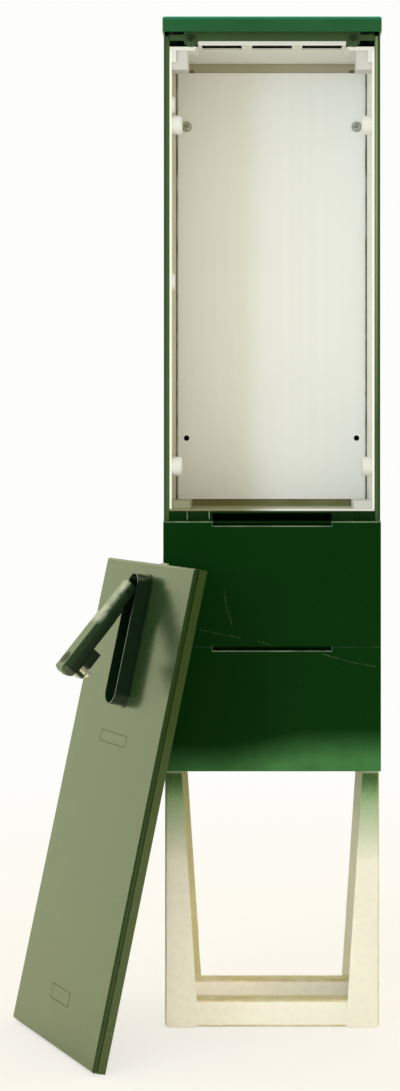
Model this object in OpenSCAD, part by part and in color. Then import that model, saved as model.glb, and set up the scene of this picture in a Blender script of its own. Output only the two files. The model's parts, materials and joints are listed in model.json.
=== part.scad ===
// Roadside utility cabinet on a galvanised ground stand, with its door taken off
// and leaning on the front left corner of the plinth. Millimetres, +Z up, front towards -Y.
// The origin is on the ground, at the centre of the four anchor holes of the stand.

/* [Cabinet shell] */
// Width over the side walls and the plinth panels
body_w = 260; // [220:1:320]
// Depth from the front of the door to the rear wall
body_d = 205; // [195:1:260]
// Height of the side walls above the plinth panels
opening_h = 582; // [540:1:700]
// Thickness of the folded sheet of the shell
shell_t = 1.5; // [1.2:0.1:1.8]
// Outer radius of the folds in the shell
bend_r = 2.5; // [2.2:0.1:3]
// Width of the flange at the front of each side wall
flange_w = 7; // [6.4:0.2:9]
// Depth of the lip that turns back from the front flange
lip_d = 12; // [8:1:14]
// Width of the flange at the rear of each side wall
rear_flange_w = 15; // [10:1:25]
// Gap at each side of the rear wall
rear_gap = 2; // [1:0.5:4]

/* [Roof] */
// Height of the roof cap
roof_h = 18; // [15:1:30]
// Sheet thickness of the roof cap
roof_t = 2; // [1.5:0.1:2.5]
// Overhang of the roof beyond the body on every side
roof_over = 1; // [0.5:0.5:6]
// Radius of the upright corners of the roof
roof_corner_r = 4; // [3:0.5:8]
// Radius of the top edge of the roof
roof_edge_r = 2; // [1:0.5:3]
// Open slit between the side walls and the lower edge of the roof
roof_gap = 2.5; // [1:0.5:5]

/* [Top rail] */
// How far the tall middle part ends before the axes of the screw lugs
rail_step = 6.5; // [6:0.1:7]
// How far the middle part reaches below the top of the side walls
rail_drop = 6; // [4:0.5:8]
// Distance of the two screw lugs from the sides of the body
lug_inset = 32.5; // [31:0.5:34]
// Radius of the round lower end of a lug
lug_r = 8.5; // [8:0.5:9]
// Height of the narrow strip between each lug and the side wall
strip_h = 7; // [5:0.5:8]
// Depth of the flange on top of the rail
rail_flange_d = 18; // [15:1:30]

/* [Plinth] */
// Height of the lower edge of the plinth above the ground
stand_h = 310; // [260:1:360]
// Height of one plinth panel
panel_h = 149; // [120:1:180]
// Wall thickness of a plinth panel
panel_t = 2.2; // [2:0.1:3]
// Radius of the upright front edges of a panel
panel_r = 3; // [2:0.5:6]
// Bevel along the top and bottom front edges of a panel
panel_bevel = 0.8; // [0.4:0.1:1.2]
// Width of the finger notch in the top edge of a panel
notch_w = 143; // [100:1:160]
// Height of the finger notch
notch_h = 5; // [3:0.5:8]
// Depth of the finger notch from the front
notch_d = 9; // [6:0.5:11]

/* [Sill] */
// Height of the sill above the plinth panels
sill_h = 12; // [11.5:0.5:14]
// How far the sill plate reaches down behind the upper panel
sill_drop = 8; // [5:0.5:15]
// Depth of the sill's top flange
sill_d = 24; // [15:1:40]
// Height of the slot for the door's tongue
slot_h = 9.5; // [7:0.5:9.5]
// Width of a small upright rib on the sill
rib_w = 2.5; // [2:0.1:4]
// How far a rib stands out
rib_d = 1.5; // [1:0.1:2]

/* [Stand] */
// Sheet thickness of the legs and cross bars
leg_t = 2; // [1.5:0.1:2.5]
// Depth of a leg over its front and rear flanges
leg_d = 167; // [155:1:170]
// Flange width of a leg at the ground
leg_foot_w = 40; // [30:1:50]
// Flange width of a leg where it enters the plinth
leg_neck_w = 19.5; // [15:0.5:25]
// Length of a leg inside the plinth
leg_tail = 160; // [120:5:200]
// Radius of the lower corners of the leg flanges
leg_corner_r = 5; // [3:0.5:8]
// Outer radius of the folds in the legs and cross bars
leg_fold_r = 3; // [2.6:0.1:4]
// Height of a cross bar
bar_h = 33; // [28:1:50]
// Depth of a cross bar's flanges
bar_d = 20; // [18:1:25]
// Distance of the rear cross bar from the front plane
bar_rear_y = 115; // [90:1:150]
// Radius of an anchor hole
anchor_r = 5; // [3:0.5:6]
// Distance between the two anchor holes of one bar
anchor_gap = 140; // [100:5:160]
// Radius of the studs that hold the legs
stud_r = 4; // [3:0.5:5]

/* [Inner frame] */
// Wall thickness of the moulded inner frame
frame_t = 2.5; // [2:0.1:3]
// Distance from the front plane to the front of the mounting plate
plate_y = 155; // [120:1:160]
// Height of the lip along the front of the frame's top
ceiling_t = 4.5; // [3.5:0.5:5]
// Thickness of the frame's top behind its lip
ceiling_sheet = 2; // [1.5:0.1:3]
// How far the shoulders of the frame's top lie below its middle
shoulder_drop = 6.5; // [5:0.5:8]
// Distance of the outer vent slots from the shoulders
vent_margin = 4.5; // [3:0.5:10]
// Bridge between two vent slots
vent_gap = 12.5; // [8:0.5:20]
// Depth of one vent slot
vent_d = 28; // [6:1:40]
// Width of the frame's rear flanges
back_flange_w = 25; // [20:1:35]
// Size of a top corner block: width, depth and height
top_block = [20, 30, 22.5];
// Size of a bottom corner block: width, depth and height
bottom_block = [23, 60, 10];

/* [Mounting plate] */
// Thickness of the mounting plate
plate_t = 2; // [1.5:0.1:4]
// Gap between the plate and the frame at each side
plate_gap = 0.5; // [0.3:0.1:3]
// Gap between the plate and the frame at top and bottom
plate_end_gap = 8; // [6:0.5:12]
// Distance of the fixing holes from the sides of the plate
hole_inset = 12.5; // [9:0.5:15]
// Height of the open lower holes above the lower edge of the plate
low_hole_z = 77; // [60:1:150]
// Distance of the screwed upper holes below the upper edge of the plate
high_hole_z = 68; // [40:1:100]
// Radius of the fixing holes
plate_hole_r = 3.5; // [3:0.1:4]
// Radius of the washers
washer_r = 6.5; // [6:0.1:8]

/* [Retainers] */
// Radius of a retainer knob
knob_r = 11.5; // [8:0.5:14]
// How far a knob stands out from the frame
knob_l = 12.5; // [8:0.5:16]
// Height of the upper knobs below the top of the side walls
knob_high = 105; // [95:1:150]
// Height of the lower knobs above the sill
knob_low = 53.5; // [40:0.5:80]
// Thickness of the flat buffers on the left rail
buffer_t = 3.5; // [2:0.5:5]
// Distance from the upper knobs down to the lower buffer
buffer_drop = 189; // [150:1:220]

/* [Door] */
// Air beside the shut door at each side
door_side_gap = 1; // [0.5:0.5:3]
// How much shorter the door is than the opening
door_end_gap = 12; // [8:1:20]
// Thickness of the door
door_t = 16; // [14:0.5:20]
// Sheet thickness of the door
door_wall = 2.5; // [2:0.1:3]
// Bevel round the front of the door
door_bevel = 2; // [1:0.5:4]
// Distance of the groove in the door's edge from its front
groove_y = 3.5; // [3:0.5:6]
// Width of that groove
groove_w = 2.5; // [1.5:0.5:4]
// Depth of that groove
groove_d = 1; // [0.5:0.1:1.2]
// Turn of the leaning door about the upright
door_turn = 63.4; // [50:0.1:75]
// Lean of the door from the upright
door_lean = 12.7; // [8:0.1:20]
// Air between the latch cam and the plinth corner it leans on
lean_gap = 0.3; // [0.2:0.1:1]
// How far the tip of the latch cam stays below the top of the plinth
lean_margin = 20; // [15:1:40]
// Depth of the two bare label fields
field_depth = 0.4; // [0.2:0.1:0.8]

/* [Handle] */
// How far the handle lies to the right of the door's middle
handle_shift = 4.7; // [0:0.1:10]
// Length of the handle housing
dish_l = 157; // [156:1:175]
// Width of the handle housing
dish_w = 31; // [31:0.5:36]
// Height of the housing's rim above the door
dish_rim = 18; // [18:0.5:22]
// Depth of the recess below the rim
dish_depth = 24; // [23.5:0.5:26]
// Wall of the housing round the recess
dish_wall = 1.5; // [1.2:0.1:1.6]
// Distance from the door's upper edge to the housing
dish_top = 15; // [10:1:18]
// How far the foot of the housing stands out round it
foot_edge = 2; // [1:0.5:3]
// Thickness of that foot
foot_t = 2; // [1:0.5:3]
// Distance from the door's upper edge to the axis of the spindle
axis_drop = 39; // [37:0.5:42]
// Length of the lever from its pin to its tip
lever_l = 122; // [118:1:124]
// Thickness of the lever at its root
lever_t = 14; // [13:0.5:15]
// Thickness of the lever below its root
lever_d = 17.5; // [16:0.5:17.5]
// Width of the lever
lever_w = 25; // [23:0.5:26]
// Width of the lever at its root
root_w = 20; // [19:0.5:21]
// Angle at which the lever stands out from the housing
lever_out = 28.5; // [0:0.5:60]
// Depth of the lock block under the lever
block_d = 11.4; // [10:0.1:11.4]
// Width of the lock block
block_w = 20; // [19:0.5:22]
// Radius of the lock cylinder
lock_r = 8; // [7:0.5:8.5]
// Radius of the lock plug
plug_r = 5; // [4:0.5:5.5]
// Reach of the locking tongue from the plug's axis
tongue_r = 12.5; // [12:0.1:13]
// Radius of the spindle
spindle_r = 6; // [5:0.5:7]
// Radius of the lever pin
pin_r = 2.5; // [2:0.1:3]
// Running clearance of turning parts
run_gap = 0.05; // [0.02:0.01:0.1]
// How far the latch cam reaches above the door
cam_reach = 3; // [2:0.5:6]
// Width of the latch cam
cam_w = 18.5; // [18:0.5:22]
// How far the middle of the latch cam lies past the corner it leans on
cam_past = 7.7; // [0:0.1:7.8]
// Thickness of the latch cam
cam_t = 2.5; // [2:0.1:4]

/* [Hidden] */

$fn = 48;
// Overlap of cutting bodies
eps = 1;
// Length of the cutters for through holes
bore_l = 20;
// Fineness of rounded hulls
soft_fn = 32;

green = [0.02, 0.19, 0.09];
deep_green = [0.03, 0.13, 0.07];
cream = [0.86, 0.85, 0.79];
grey_plate = [0.78, 0.78, 0.75];
white = [0.96, 0.96, 0.95];
zinc = [0.75, 0.75, 0.72];
galvanised = [0.84, 0.83, 0.76];

// Places worked out from the sizes above
leg_y = door_t + shell_t;
bar_front_y = leg_y + leg_t;
front = -((bar_front_y + bar_rear_y) / 2 + bar_d / 2);
rear = front + body_d;
half_w = body_w / 2;
leg_half = half_w - shell_t;
plinth_top = stand_h + 2 * panel_h;
wall_top = plinth_top + opening_h;
roof_z = wall_top + roof_gap;
roof_under = roof_z + roof_h - roof_t;
lug_x = half_w - lug_inset;
rail_half_w = lug_x - rail_step;
door_w = body_w - 2 * door_side_gap;
door_h = opening_h - door_end_gap;
flange_y = front + door_t;
frame_half = half_w - flange_w;
frame_in = frame_half - frame_t;
frame_y = flange_y + shell_t;
back_y = front + plate_y + plate_t;
sill_top = plinth_top + sill_h;
floor_z = sill_top + frame_t;
ceiling_z = wall_top - rail_drop - ceiling_t;
shoulder_z = ceiling_z - shoulder_drop;
shoulder_inset = 2;
shoulder_run = 4;
shoulder_x = rail_half_w - shoulder_inset;
vent_w = (2 * shoulder_x - 2 * vent_margin - 2 * vent_gap) / 3;
vent_pitch = vent_w + vent_gap;
lug_drop = 4.5;
lug_z = wall_top - lug_drop;
strip_drop = 5.4;
strip_z = wall_top - strip_drop;
plate_z0 = floor_z + plate_end_gap;
plate_z1 = shoulder_z - plate_end_gap / 2;
plate_half = frame_in - plate_gap;
hole_x = plate_half - hole_inset;
thread_r = 3;
head_r = 5;
head_h = 3.5;
washer_t = 1.2;
// Clearance round fixed screws and studs
fit_gap = 0.1;

// One quarter of a sheet fold, in the quadrant that qx and qy point to
module fold(x, y, qx, qy, r = bend_r, t = shell_t) {
    translate([x, y])
        intersection() {
            difference() {
                circle(r);
                circle(r - t);
            }
            translate([min(qx, 0) * r, min(qy, 0) * r])
                square(r);
        }
}

// A rectangle with round corners on all four sides
module round_rect(w, d, r) {
    square([w - 2 * r, d], center = true);
    square([w, d - 2 * r], center = true);
    for (sx = [-1, 1], sy = [-1, 1])
        translate([sx * (w / 2 - r), sy * (d / 2 - r)])
            circle(r);
}

// A long slot outline with round ends, along the second axis
module stadium(w, length) {
    square([w, length - w], center = true);
    for (s = [-1, 1])
        translate([0, s * (length - w) / 2])
            circle(w / 2);
}

// Extrudes an outline drawn in X and Z along Y, from y0 to y1
module along_y(y0, y1) {
    translate([0, y1, 0])
        rotate([90, 0, 0])
            linear_extrude(y1 - y0)
                children();
}

// Puts a thing at both sides of the cabinet
module both_sides() {
    children();
    mirror([1, 0, 0])
        children();
}

// Pan head screw along -Y, its head's underside at the origin
module pan_screw(length, head = head_r, height = head_h, shank = thread_r) {
    rotate([90, 0, 0]) {
        rotate_extrude() {
            square([head, height * 0.4]);
            intersection() {
                translate([0, height * 0.4])
                    circle(head);
                translate([0, height * 0.4])
                    square([head, height * 0.6]);
            }
        }
        translate([0, 0, -length])
            cylinder(r = shank, h = length);
    }
}

// Shell

module wall_profile(lip) {
    x0 = -half_w;
    translate([x0, flange_y + bend_r])
        square([shell_t, rear - flange_y - 2 * bend_r]);
    fold(x0 + bend_r, flange_y + bend_r, -1, -1);
    fold(x0 + bend_r, rear - bend_r, -1, 1);
    translate([x0 + bend_r, flange_y])
        square([flange_w - 2 * bend_r, shell_t]);
    translate([x0 + bend_r, rear - shell_t])
        square([rear_flange_w - bend_r, shell_t]);
    if (lip) {
        fold(x0 + flange_w - bend_r, flange_y + bend_r, 1, -1);
        translate([x0 + flange_w - shell_t, flange_y + bend_r])
            square([shell_t, lip_d - bend_r]);
    }
}

module side_wall() {
    color(green) {
        translate([0, 0, stand_h])
            linear_extrude(plinth_top - stand_h)
                wall_profile(false);
        translate([0, 0, plinth_top])
            linear_extrude(opening_h)
                wall_profile(true);
    }
}

module left_side_wall() {
    side_wall();
}

module right_side_wall() {
    mirror([1, 0, 0])
        side_wall();
}

rivet_end = 30;
rivet_gaps = 4;
rivet_pitch = (wall_top - stand_h - 2 * rivet_end) / rivet_gaps;
rivet_zs = [for (k = [0:rivet_gaps]) stand_h + rivet_end + k * rivet_pitch];
rivet_x = half_w - rear_flange_w / 2 - 1;
rivet_r = 2;

module rear_wall() {
    w = body_w - 2 * (shell_t + rear_gap);
    y1 = rear - shell_t;
    color(green)
        difference() {
            union() {
                along_y(y1 - shell_t, y1)
                    translate([-w / 2, stand_h])
                        square([w, roof_under - stand_h]);
                translate([-w / 2, y1 - rear_flange_w, roof_under - shell_t])
                    cube([w, rear_flange_w, shell_t]);
            }
            for (z = rivet_zs)
                both_sides()
                    translate([rivet_x, y1, z])
                        rotate([90, 0, 0])
                            cylinder(r = rivet_r, h = 3 * shell_t, center = true);
        }
}

module rear_rivets() {
    color(zinc)
        for (z = rivet_zs)
            both_sides()
                translate([rivet_x, rear - shell_t, z])
                    rotate([90, 0, 0]) {
                        cylinder(r = rivet_r, h = shell_t);
                        translate([0, 0, shell_t])
                            cylinder(r1 = 2 * rivet_r, r2 = rivet_r, h = 1.2);
                    }
}

module roof() {
    w = body_w + 2 * roof_over;
    d = body_d + 2 * roof_over;
    color(green)
        translate([0, front + body_d / 2, roof_z])
            difference() {
                hull()
                    for (sx = [-1, 1], sy = [-1, 1])
                        translate([sx * (w / 2 - roof_corner_r), sy * (d / 2 - roof_corner_r), 0])
                            rotate_extrude($fn = soft_fn) {
                                square([roof_corner_r, roof_h - roof_edge_r]);
                                square([roof_corner_r - roof_edge_r, roof_h]);
                                translate([roof_corner_r - roof_edge_r, roof_h - roof_edge_r])
                                    circle(roof_edge_r);
                            }
                translate([0, 0, -eps])
                    linear_extrude(roof_h - roof_t + eps)
                        round_rect(w - 2 * roof_t, d - 2 * roof_t, roof_corner_r - roof_t + 0.5);
            }
}

module lug_outline() {
    translate([lug_x, lug_z])
        circle(lug_r);
    translate([lug_x - lug_r, lug_z])
        square([2 * lug_r, roof_under - lug_z]);
}

module top_rail() {
    color(green)
        difference() {
            union() {
                along_y(flange_y, frame_y) {
                    translate([-rail_half_w, wall_top - rail_drop])
                        square([2 * rail_half_w, roof_under - wall_top + rail_drop]);
                    both_sides() {
                        lug_outline();
                        translate([lug_x, strip_z])
                            square([frame_half - lug_x, strip_h]);
                    }
                }
                translate([-lug_x - lug_r, flange_y, roof_under - shell_t])
                    cube([2 * (lug_x + lug_r), rail_flange_d, shell_t]);
            }
            both_sides()
                translate([lug_x, flange_y, lug_z])
                    rotate([90, 0, 0])
                        cylinder(r = thread_r + fit_gap, h = 4 * shell_t, center = true);
        }
}

bracket_w = 15;
bracket_t = 2;

module roof_brackets() {
    y0 = frame_y;
    color(zinc)
        both_sides()
            difference() {
                union() {
                    along_y(y0, y0 + bracket_t)
                        translate([lug_x - bracket_w / 2, lug_z - bracket_w / 2 + 2])
                            square([bracket_w, roof_under - shell_t - lug_z + bracket_w / 2 - 2]);
                    translate([lug_x - bracket_w / 2, y0, roof_under - shell_t - bracket_t])
                        cube([bracket_w, bracket_w, bracket_t]);
                }
                translate([lug_x, y0, lug_z])
                    rotate([90, 0, 0])
                        cylinder(r = thread_r + fit_gap, h = 4 * bracket_t, center = true);
            }
}

module roof_screws() {
    color(zinc)
        both_sides()
            translate([lug_x, flange_y, lug_z])
                pan_screw(shell_t + bracket_t + 2, head = head_r + 0.5, height = 4.5);
}

rib_near = 4.5;
rib_far = 30.5;
rib_xs = [notch_w / 2 + rib_near, notch_w / 2 + rib_far];

module sill() {
    color(green) {
        difference() {
            translate([-frame_half, flange_y, plinth_top - sill_drop])
                cube([2 * frame_half, shell_t, sill_h + sill_drop]);
            translate([-notch_w / 2, flange_y - eps, plinth_top])
                cube([notch_w, shell_t + 2 * eps, slot_h]);
        }
        translate([-frame_half, flange_y, sill_top - shell_t])
            cube([2 * frame_half, sill_d, shell_t]);
        for (x = rib_xs)
            both_sides()
                translate([x - rib_w / 2, flange_y - rib_d, plinth_top])
                    cube([rib_w, rib_d, sill_h]);
    }
}

panel_in_r = 0.8;

// Outline of a panel seen from above, its front corners rounded
module panel_outline(inset = 0) {
    w = body_w - 2 * inset;
    r = max(panel_r - inset, panel_in_r);
    translate([-w / 2 + r, front + inset])
        square([w - 2 * r, r]);
    translate([-w / 2, front + inset + r])
        square([w, door_t - inset - r]);
    for (s = [-1, 1])
        translate([s * (w / 2 - r), front + inset + r])
            circle(r);
}

module plinth_panel() {
    color(green)
        difference() {
            linear_extrude(panel_h)
                panel_outline();
            translate([0, 0, panel_t])
                linear_extrude(panel_h - 2 * panel_t)
                    panel_outline(panel_t);
            translate([-half_w + panel_t, flange_y - panel_t, panel_t])
                cube([body_w - 2 * panel_t, panel_t + eps, panel_h - 2 * panel_t]);
            translate([-notch_w / 2, front - eps, panel_h - notch_h])
                cube([notch_w, notch_d + eps, notch_h + eps]);
            for (z = [0, panel_h])
                translate([0, front, z])
                    rotate([45, 0, 0])
                        cube([body_w + eps, panel_bevel * sqrt(2), panel_bevel * sqrt(2)], center = true);
        }
}

module upper_plinth_panel() {
    translate([0, 0, stand_h + panel_h])
        plinth_panel();
}

module lower_plinth_panel() {
    translate([0, 0, stand_h])
        plinth_panel();
}

// Stand

stud_low = 40;
stud_high = 30;
stud_in = 40;
stud_zs = [stand_h + stud_low, stand_h + leg_tail - stud_high];
stud_ys = [front + leg_y + stud_in, front + leg_y + leg_d - stud_in];

// What is cut from the flanges of a leg, drawn in X and Z with the web at the left
module leg_waste() {
    top = stand_h + leg_tail + eps;
    r = leg_corner_r;
    polygon([
        [leg_foot_w, 0],
        [leg_neck_w, stand_h],
        [leg_neck_w, top],
        [leg_foot_w + eps, top],
        [leg_foot_w + eps, 0],
    ]);
    for (s = [0, 1])
        translate([s * leg_foot_w, 0])
            mirror([s, 0])
                difference() {
                    translate([-eps, -eps])
                        square(r + eps);
                    translate([r, r])
                        circle(r);
                }
}

// Folded channel seen along its length: web at the left, flanges of width w, depth d
module channel_outline(w, d) {
    r = leg_fold_r;
    translate([0, r])
        square([leg_t, d - 2 * r]);
    for (y = [0, d - leg_t])
        translate([r, y])
            square([w - r, leg_t]);
    fold(r, r, -1, -1, r, leg_t);
    fold(r, d - r, -1, 1, r, leg_t);
}

module leg() {
    y0 = front + leg_y;
    color(galvanised)
        difference() {
            translate([-leg_half, y0, 0])
                linear_extrude(stand_h + leg_tail)
                    channel_outline(leg_foot_w, leg_d);
            along_y(y0 - eps, y0 + leg_d + eps)
                translate([-leg_half, 0])
                    leg_waste();
            for (y = stud_ys, z = stud_zs)
                translate([-leg_half, y, z])
                    rotate([0, 90, 0])
                        cylinder(r = stud_r + fit_gap, h = 4 * leg_t, center = true);
        }
}

module left_leg() {
    leg();
}

module right_leg() {
    mirror([1, 0, 0])
        leg();
}

// Channel between the legs, open towards the rear, with anchor holes in its lower flange
module cross_bar(y0) {
    w = 2 * (leg_half - leg_t);
    color(galvanised)
        translate([0, front + y0, 0])
            difference() {
                translate([-w / 2, 0, 0])
                    rotate([90, 0, 90])
                        linear_extrude(w)
                            channel_outline(bar_d, bar_h);
                for (s = [-1, 1])
                    translate([s * anchor_gap / 2, bar_d / 2, 0])
                        cylinder(r = anchor_r, h = 3 * leg_t, center = true);
                // Lower corners cut away beside the feet of the legs
                for (s = [-1, 1])
                    translate([s * w / 2, bar_d / 2, 0])
                        cube([2 * leg_corner_r, bar_d + 2 * eps, 4 * leg_corner_r], center = true);
            }
}

module front_cross_bar() {
    cross_bar(bar_front_y);
}

module rear_cross_bar() {
    cross_bar(bar_rear_y);
}

nut_r = 7;
nut_h = 6.5;
stud_l = leg_t + nut_h + 4;

module leg_studs() {
    color(zinc)
        both_sides()
            for (y = stud_ys, z = stud_zs)
                translate([-leg_half, y, z])
                    rotate([0, 90, 0])
                        cylinder(r = stud_r, h = stud_l);
}

module leg_nuts() {
    color(zinc)
        both_sides()
            for (y = stud_ys, z = stud_zs)
                translate([-leg_half + leg_t, y, z])
                    rotate([0, 90, 0])
                        difference() {
                            cylinder(r = nut_r, h = nut_h, $fn = 6);
                            translate([0, 0, -eps])
                                cylinder(r = stud_r + fit_gap, h = nut_h + 2 * eps, $fn = 48);
                        }
}

// Inner frame

hole_zs = [plate_z0 + low_hole_z, plate_z1 - high_hole_z];

// Fixing holes through the plate or the frame: low open ones and high screwed ones
module plate_holes(low_r, high_r) {
    rs = [low_r, high_r];
    for (k = [0, 1])
        both_sides()
            translate([hole_x, back_y, hole_zs[k]])
                rotate([90, 0, 0])
                    cylinder(r = rs[k], h = bore_l, center = true);
}

module inner_rail() {
    color(cream)
        difference() {
            translate([0, 0, floor_z])
                linear_extrude(shoulder_z - floor_z) {
                    translate([-frame_half, frame_y])
                        square([frame_t, back_y + frame_t - frame_y]);
                    translate([-frame_half, back_y])
                        square([back_flange_w, frame_t]);
                }
            plate_holes(plate_hole_r, thread_r + fit_gap);
        }
}

module inner_left_rail() {
    inner_rail();
}

module inner_right_rail() {
    mirror([1, 0, 0])
        inner_rail();
}

// Front outline of the frame's top, its shoulders lowered beside the lugs
module ceiling_outline(t) {
    polygon([
        [-frame_half, shoulder_z],
        [-frame_half, shoulder_z + t],
        [-shoulder_x - shoulder_run, shoulder_z + t],
        [-shoulder_x, ceiling_z + t],
        [shoulder_x, ceiling_z + t],
        [shoulder_x + shoulder_run, shoulder_z + t],
        [frame_half, shoulder_z + t],
        [frame_half, shoulder_z],
        [shoulder_x + shoulder_run, shoulder_z],
        [shoulder_x, ceiling_z],
        [-shoulder_x, ceiling_z],
        [-shoulder_x - shoulder_run, shoulder_z],
    ]);
}

vent_front = 4.5;

module inner_top_rail() {
    drop = 2 * back_flange_w - shoulder_drop;
    step_y = frame_y + top_block[1] - ceiling_sheet;
    color(cream)
        difference() {
            union() {
                along_y(frame_y, frame_y + frame_t)
                    ceiling_outline(ceiling_t);
                along_y(frame_y, frame_y + top_block[1])
                    ceiling_outline(ceiling_sheet);
                translate([-frame_half, step_y, ceiling_z])
                    cube([2 * frame_half, back_y + frame_t - step_y, ceiling_sheet]);
                translate([-frame_half, back_y, shoulder_z])
                    cube([2 * frame_half, frame_t, shoulder_drop + eps]);
                both_sides() {
                    translate([shoulder_x, step_y, shoulder_z])
                        cube([frame_half - shoulder_x, ceiling_sheet, shoulder_drop + eps]);
                    translate([frame_half - ceiling_sheet, step_y, shoulder_z])
                        cube([ceiling_sheet, back_y + frame_t - step_y, shoulder_drop + eps]);
                }
                translate([-frame_half + back_flange_w, back_y, ceiling_z - drop])
                    cube([2 * (frame_half - back_flange_w), frame_t, drop]);
            }
            for (k = [-1:1])
                translate([k * vent_pitch - vent_w / 2, frame_y + vent_front, ceiling_z - eps])
                    cube([vent_w, vent_d, ceiling_t + 2 * eps]);
            // Room behind the lugs for the roof brackets and screws
            both_sides()
                translate([lug_x - bracket_w / 2 - 1, frame_y - eps, shoulder_z + ceiling_t])
                    cube([bracket_w + 2, bracket_w + 2, shoulder_drop + ceiling_t]);
        }
}

module inner_bottom_rail() {
    color(cream) {
        translate([-frame_half, frame_y, sill_top])
            cube([2 * frame_half, back_y + frame_t - frame_y, frame_t]);
        translate([-frame_half + back_flange_w, back_y, floor_z])
            cube([2 * (frame_half - back_flange_w), frame_t, back_flange_w]);
    }
}

block_y = frame_y + 2.5;
block_bevel = 1.5;

// Corner block with bevelled front edges, its outer rear corner at the frame
module corner_block(size) {
    translate([-frame_in, block_y, 0])
        linear_extrude(size[2])
            polygon([
                [0, 0],
                [size[0] - block_bevel, 0],
                [size[0], block_bevel],
                [size[0], size[1]],
                [0, size[1]],
            ]);
}

module top_corner_blocks() {
    color(cream)
        both_sides()
            translate([0, 0, shoulder_z - top_block[2]])
                corner_block(top_block);
}

module bottom_corner_blocks() {
    color(cream)
        both_sides()
            translate([0, 0, floor_z])
                corner_block(bottom_block);
}

plate_corner_r = 3;

module mounting_plate() {
    color(grey_plate)
        difference() {
            along_y(back_y - plate_t, back_y)
                translate([0, (plate_z0 + plate_z1) / 2])
                    round_rect(2 * plate_half, plate_z1 - plate_z0, plate_corner_r);
            plate_holes(plate_hole_r, plate_hole_r);
        }
}

module at_plate_screws() {
    both_sides()
        translate([hole_x, back_y - plate_t, hole_zs[1]])
            children();
}

module plate_washers() {
    color(zinc)
        at_plate_screws()
            rotate([90, 0, 0])
                difference() {
                    cylinder(r = washer_r, h = washer_t);
                    translate([0, 0, -eps])
                        cylinder(r = thread_r + fit_gap, h = washer_t + 2 * eps);
                }
}

module plate_screws() {
    color(zinc)
        at_plate_screws()
            translate([0, -washer_t, 0])
                pan_screw(washer_t + plate_t + frame_t + 2);
}

knob_zs = [sill_top + knob_low, wall_top - knob_high];
knob_y = frame_y + knob_r + 0.5;
knob_edge = 3;

module knob() {
    rotate([0, 90, 0])
        rotate_extrude() {
            square([knob_r, knob_l - knob_edge]);
            square([knob_r - knob_edge, knob_l]);
            translate([knob_r - knob_edge, knob_l - knob_edge])
                circle(knob_edge);
        }
}

module retainer_knobs() {
    color(white)
        both_sides()
            for (z = knob_zs)
                translate([-frame_in, knob_y, z])
                    knob();
}

buffer_air = 1.4;
buffer_zs = [knob_zs[1] + 2 * knob_r + buffer_air, knob_zs[1] - buffer_drop];
tab_w = 5.5;
tab_h = 14;

module edge_clips() {
    color(white) {
        for (z = buffer_zs)
            translate([-frame_in, knob_y, z])
                rotate([0, 90, 0])
                    cylinder(r1 = knob_r, r2 = knob_r - 2, h = buffer_t);
        both_sides()
            translate([-frame_in, frame_y, shoulder_z - tab_h])
                cube([tab_w, block_y - frame_y, tab_h]);
    }
}

// Door, drawn upright with its rear face on Y = 0, its right edge on X = 0 and its foot on Z = 0

handle_x = -door_w / 2 + handle_shift;
axis_z = door_h - axis_drop;
rim_y = -door_t - dish_rim;
recess_y = rim_y + dish_depth;
floor_t = 2;
lever_air = 0.4;
pin_y = rim_y - lever_air - lever_t / 2;
cam_y = 0.5;
sleeve_end = 0.2;
cam_tip = door_h + cam_reach;
corner_x = -half_w + panel_r;
corner_y = front + panel_r;
rest_x = handle_x - cam_past;
lean = max(door_lean, acos(min(1, (plinth_top - lean_margin) / cam_tip)));

// Puts the door where it leans, its cam's tip on the corner of the plinth
module leaning() {
    away = panel_r + lean_gap + (cam_y + cam_t) * cos(lean) + cam_tip * sin(lean);
    x = corner_x - away * sin(door_turn) - rest_x * cos(door_turn);
    y = corner_y - away * cos(door_turn) + rest_x * sin(door_turn);
    translate([x, y, 0])
        rotate([0, 0, -door_turn])
            rotate([-lean, 0, 0])
                children();
}

// Rectangular block with its four front edges bevelled
module bevelled_block(w, d, h, bevel) {
    intersection() {
        translate([-w, 0, 0])
            rotate([90, 0, 90])
                linear_extrude(w)
                    polygon([[0, 0], [-d + bevel, 0], [-d, bevel], [-d, h - bevel], [-d + bevel, h], [0, h]]);
        linear_extrude(h)
            polygon([[0, 0], [0, -d + bevel], [-bevel, -d], [-w + bevel, -d], [-w, -d + bevel], [-w, 0]]);
    }
}

tongue_z = 2.5;
tongue_h = 4;
tongue_d = 8;
field_line = 1;
fields = [[77, 14, 0.63], [55, 17, 0.10]];

// Groove round a bare label field
module label_field(w, h) {
    difference() {
        square([w, h], center = true);
        square([w - 2 * field_line, h - 2 * field_line], center = true);
    }
}

// Groove round the door's edge, a little behind its front
module edge_groove() {
    translate([0, -door_t + groove_y, 0])
        difference() {
            translate([-door_w - eps, 0, -eps])
                cube([door_w + 2 * eps, groove_w, door_h + 2 * eps]);
            translate([-door_w + groove_d, -eps, groove_d])
                cube([door_w - 2 * groove_d, groove_w + 2 * eps, door_h - 2 * groove_d]);
        }
}

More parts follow.
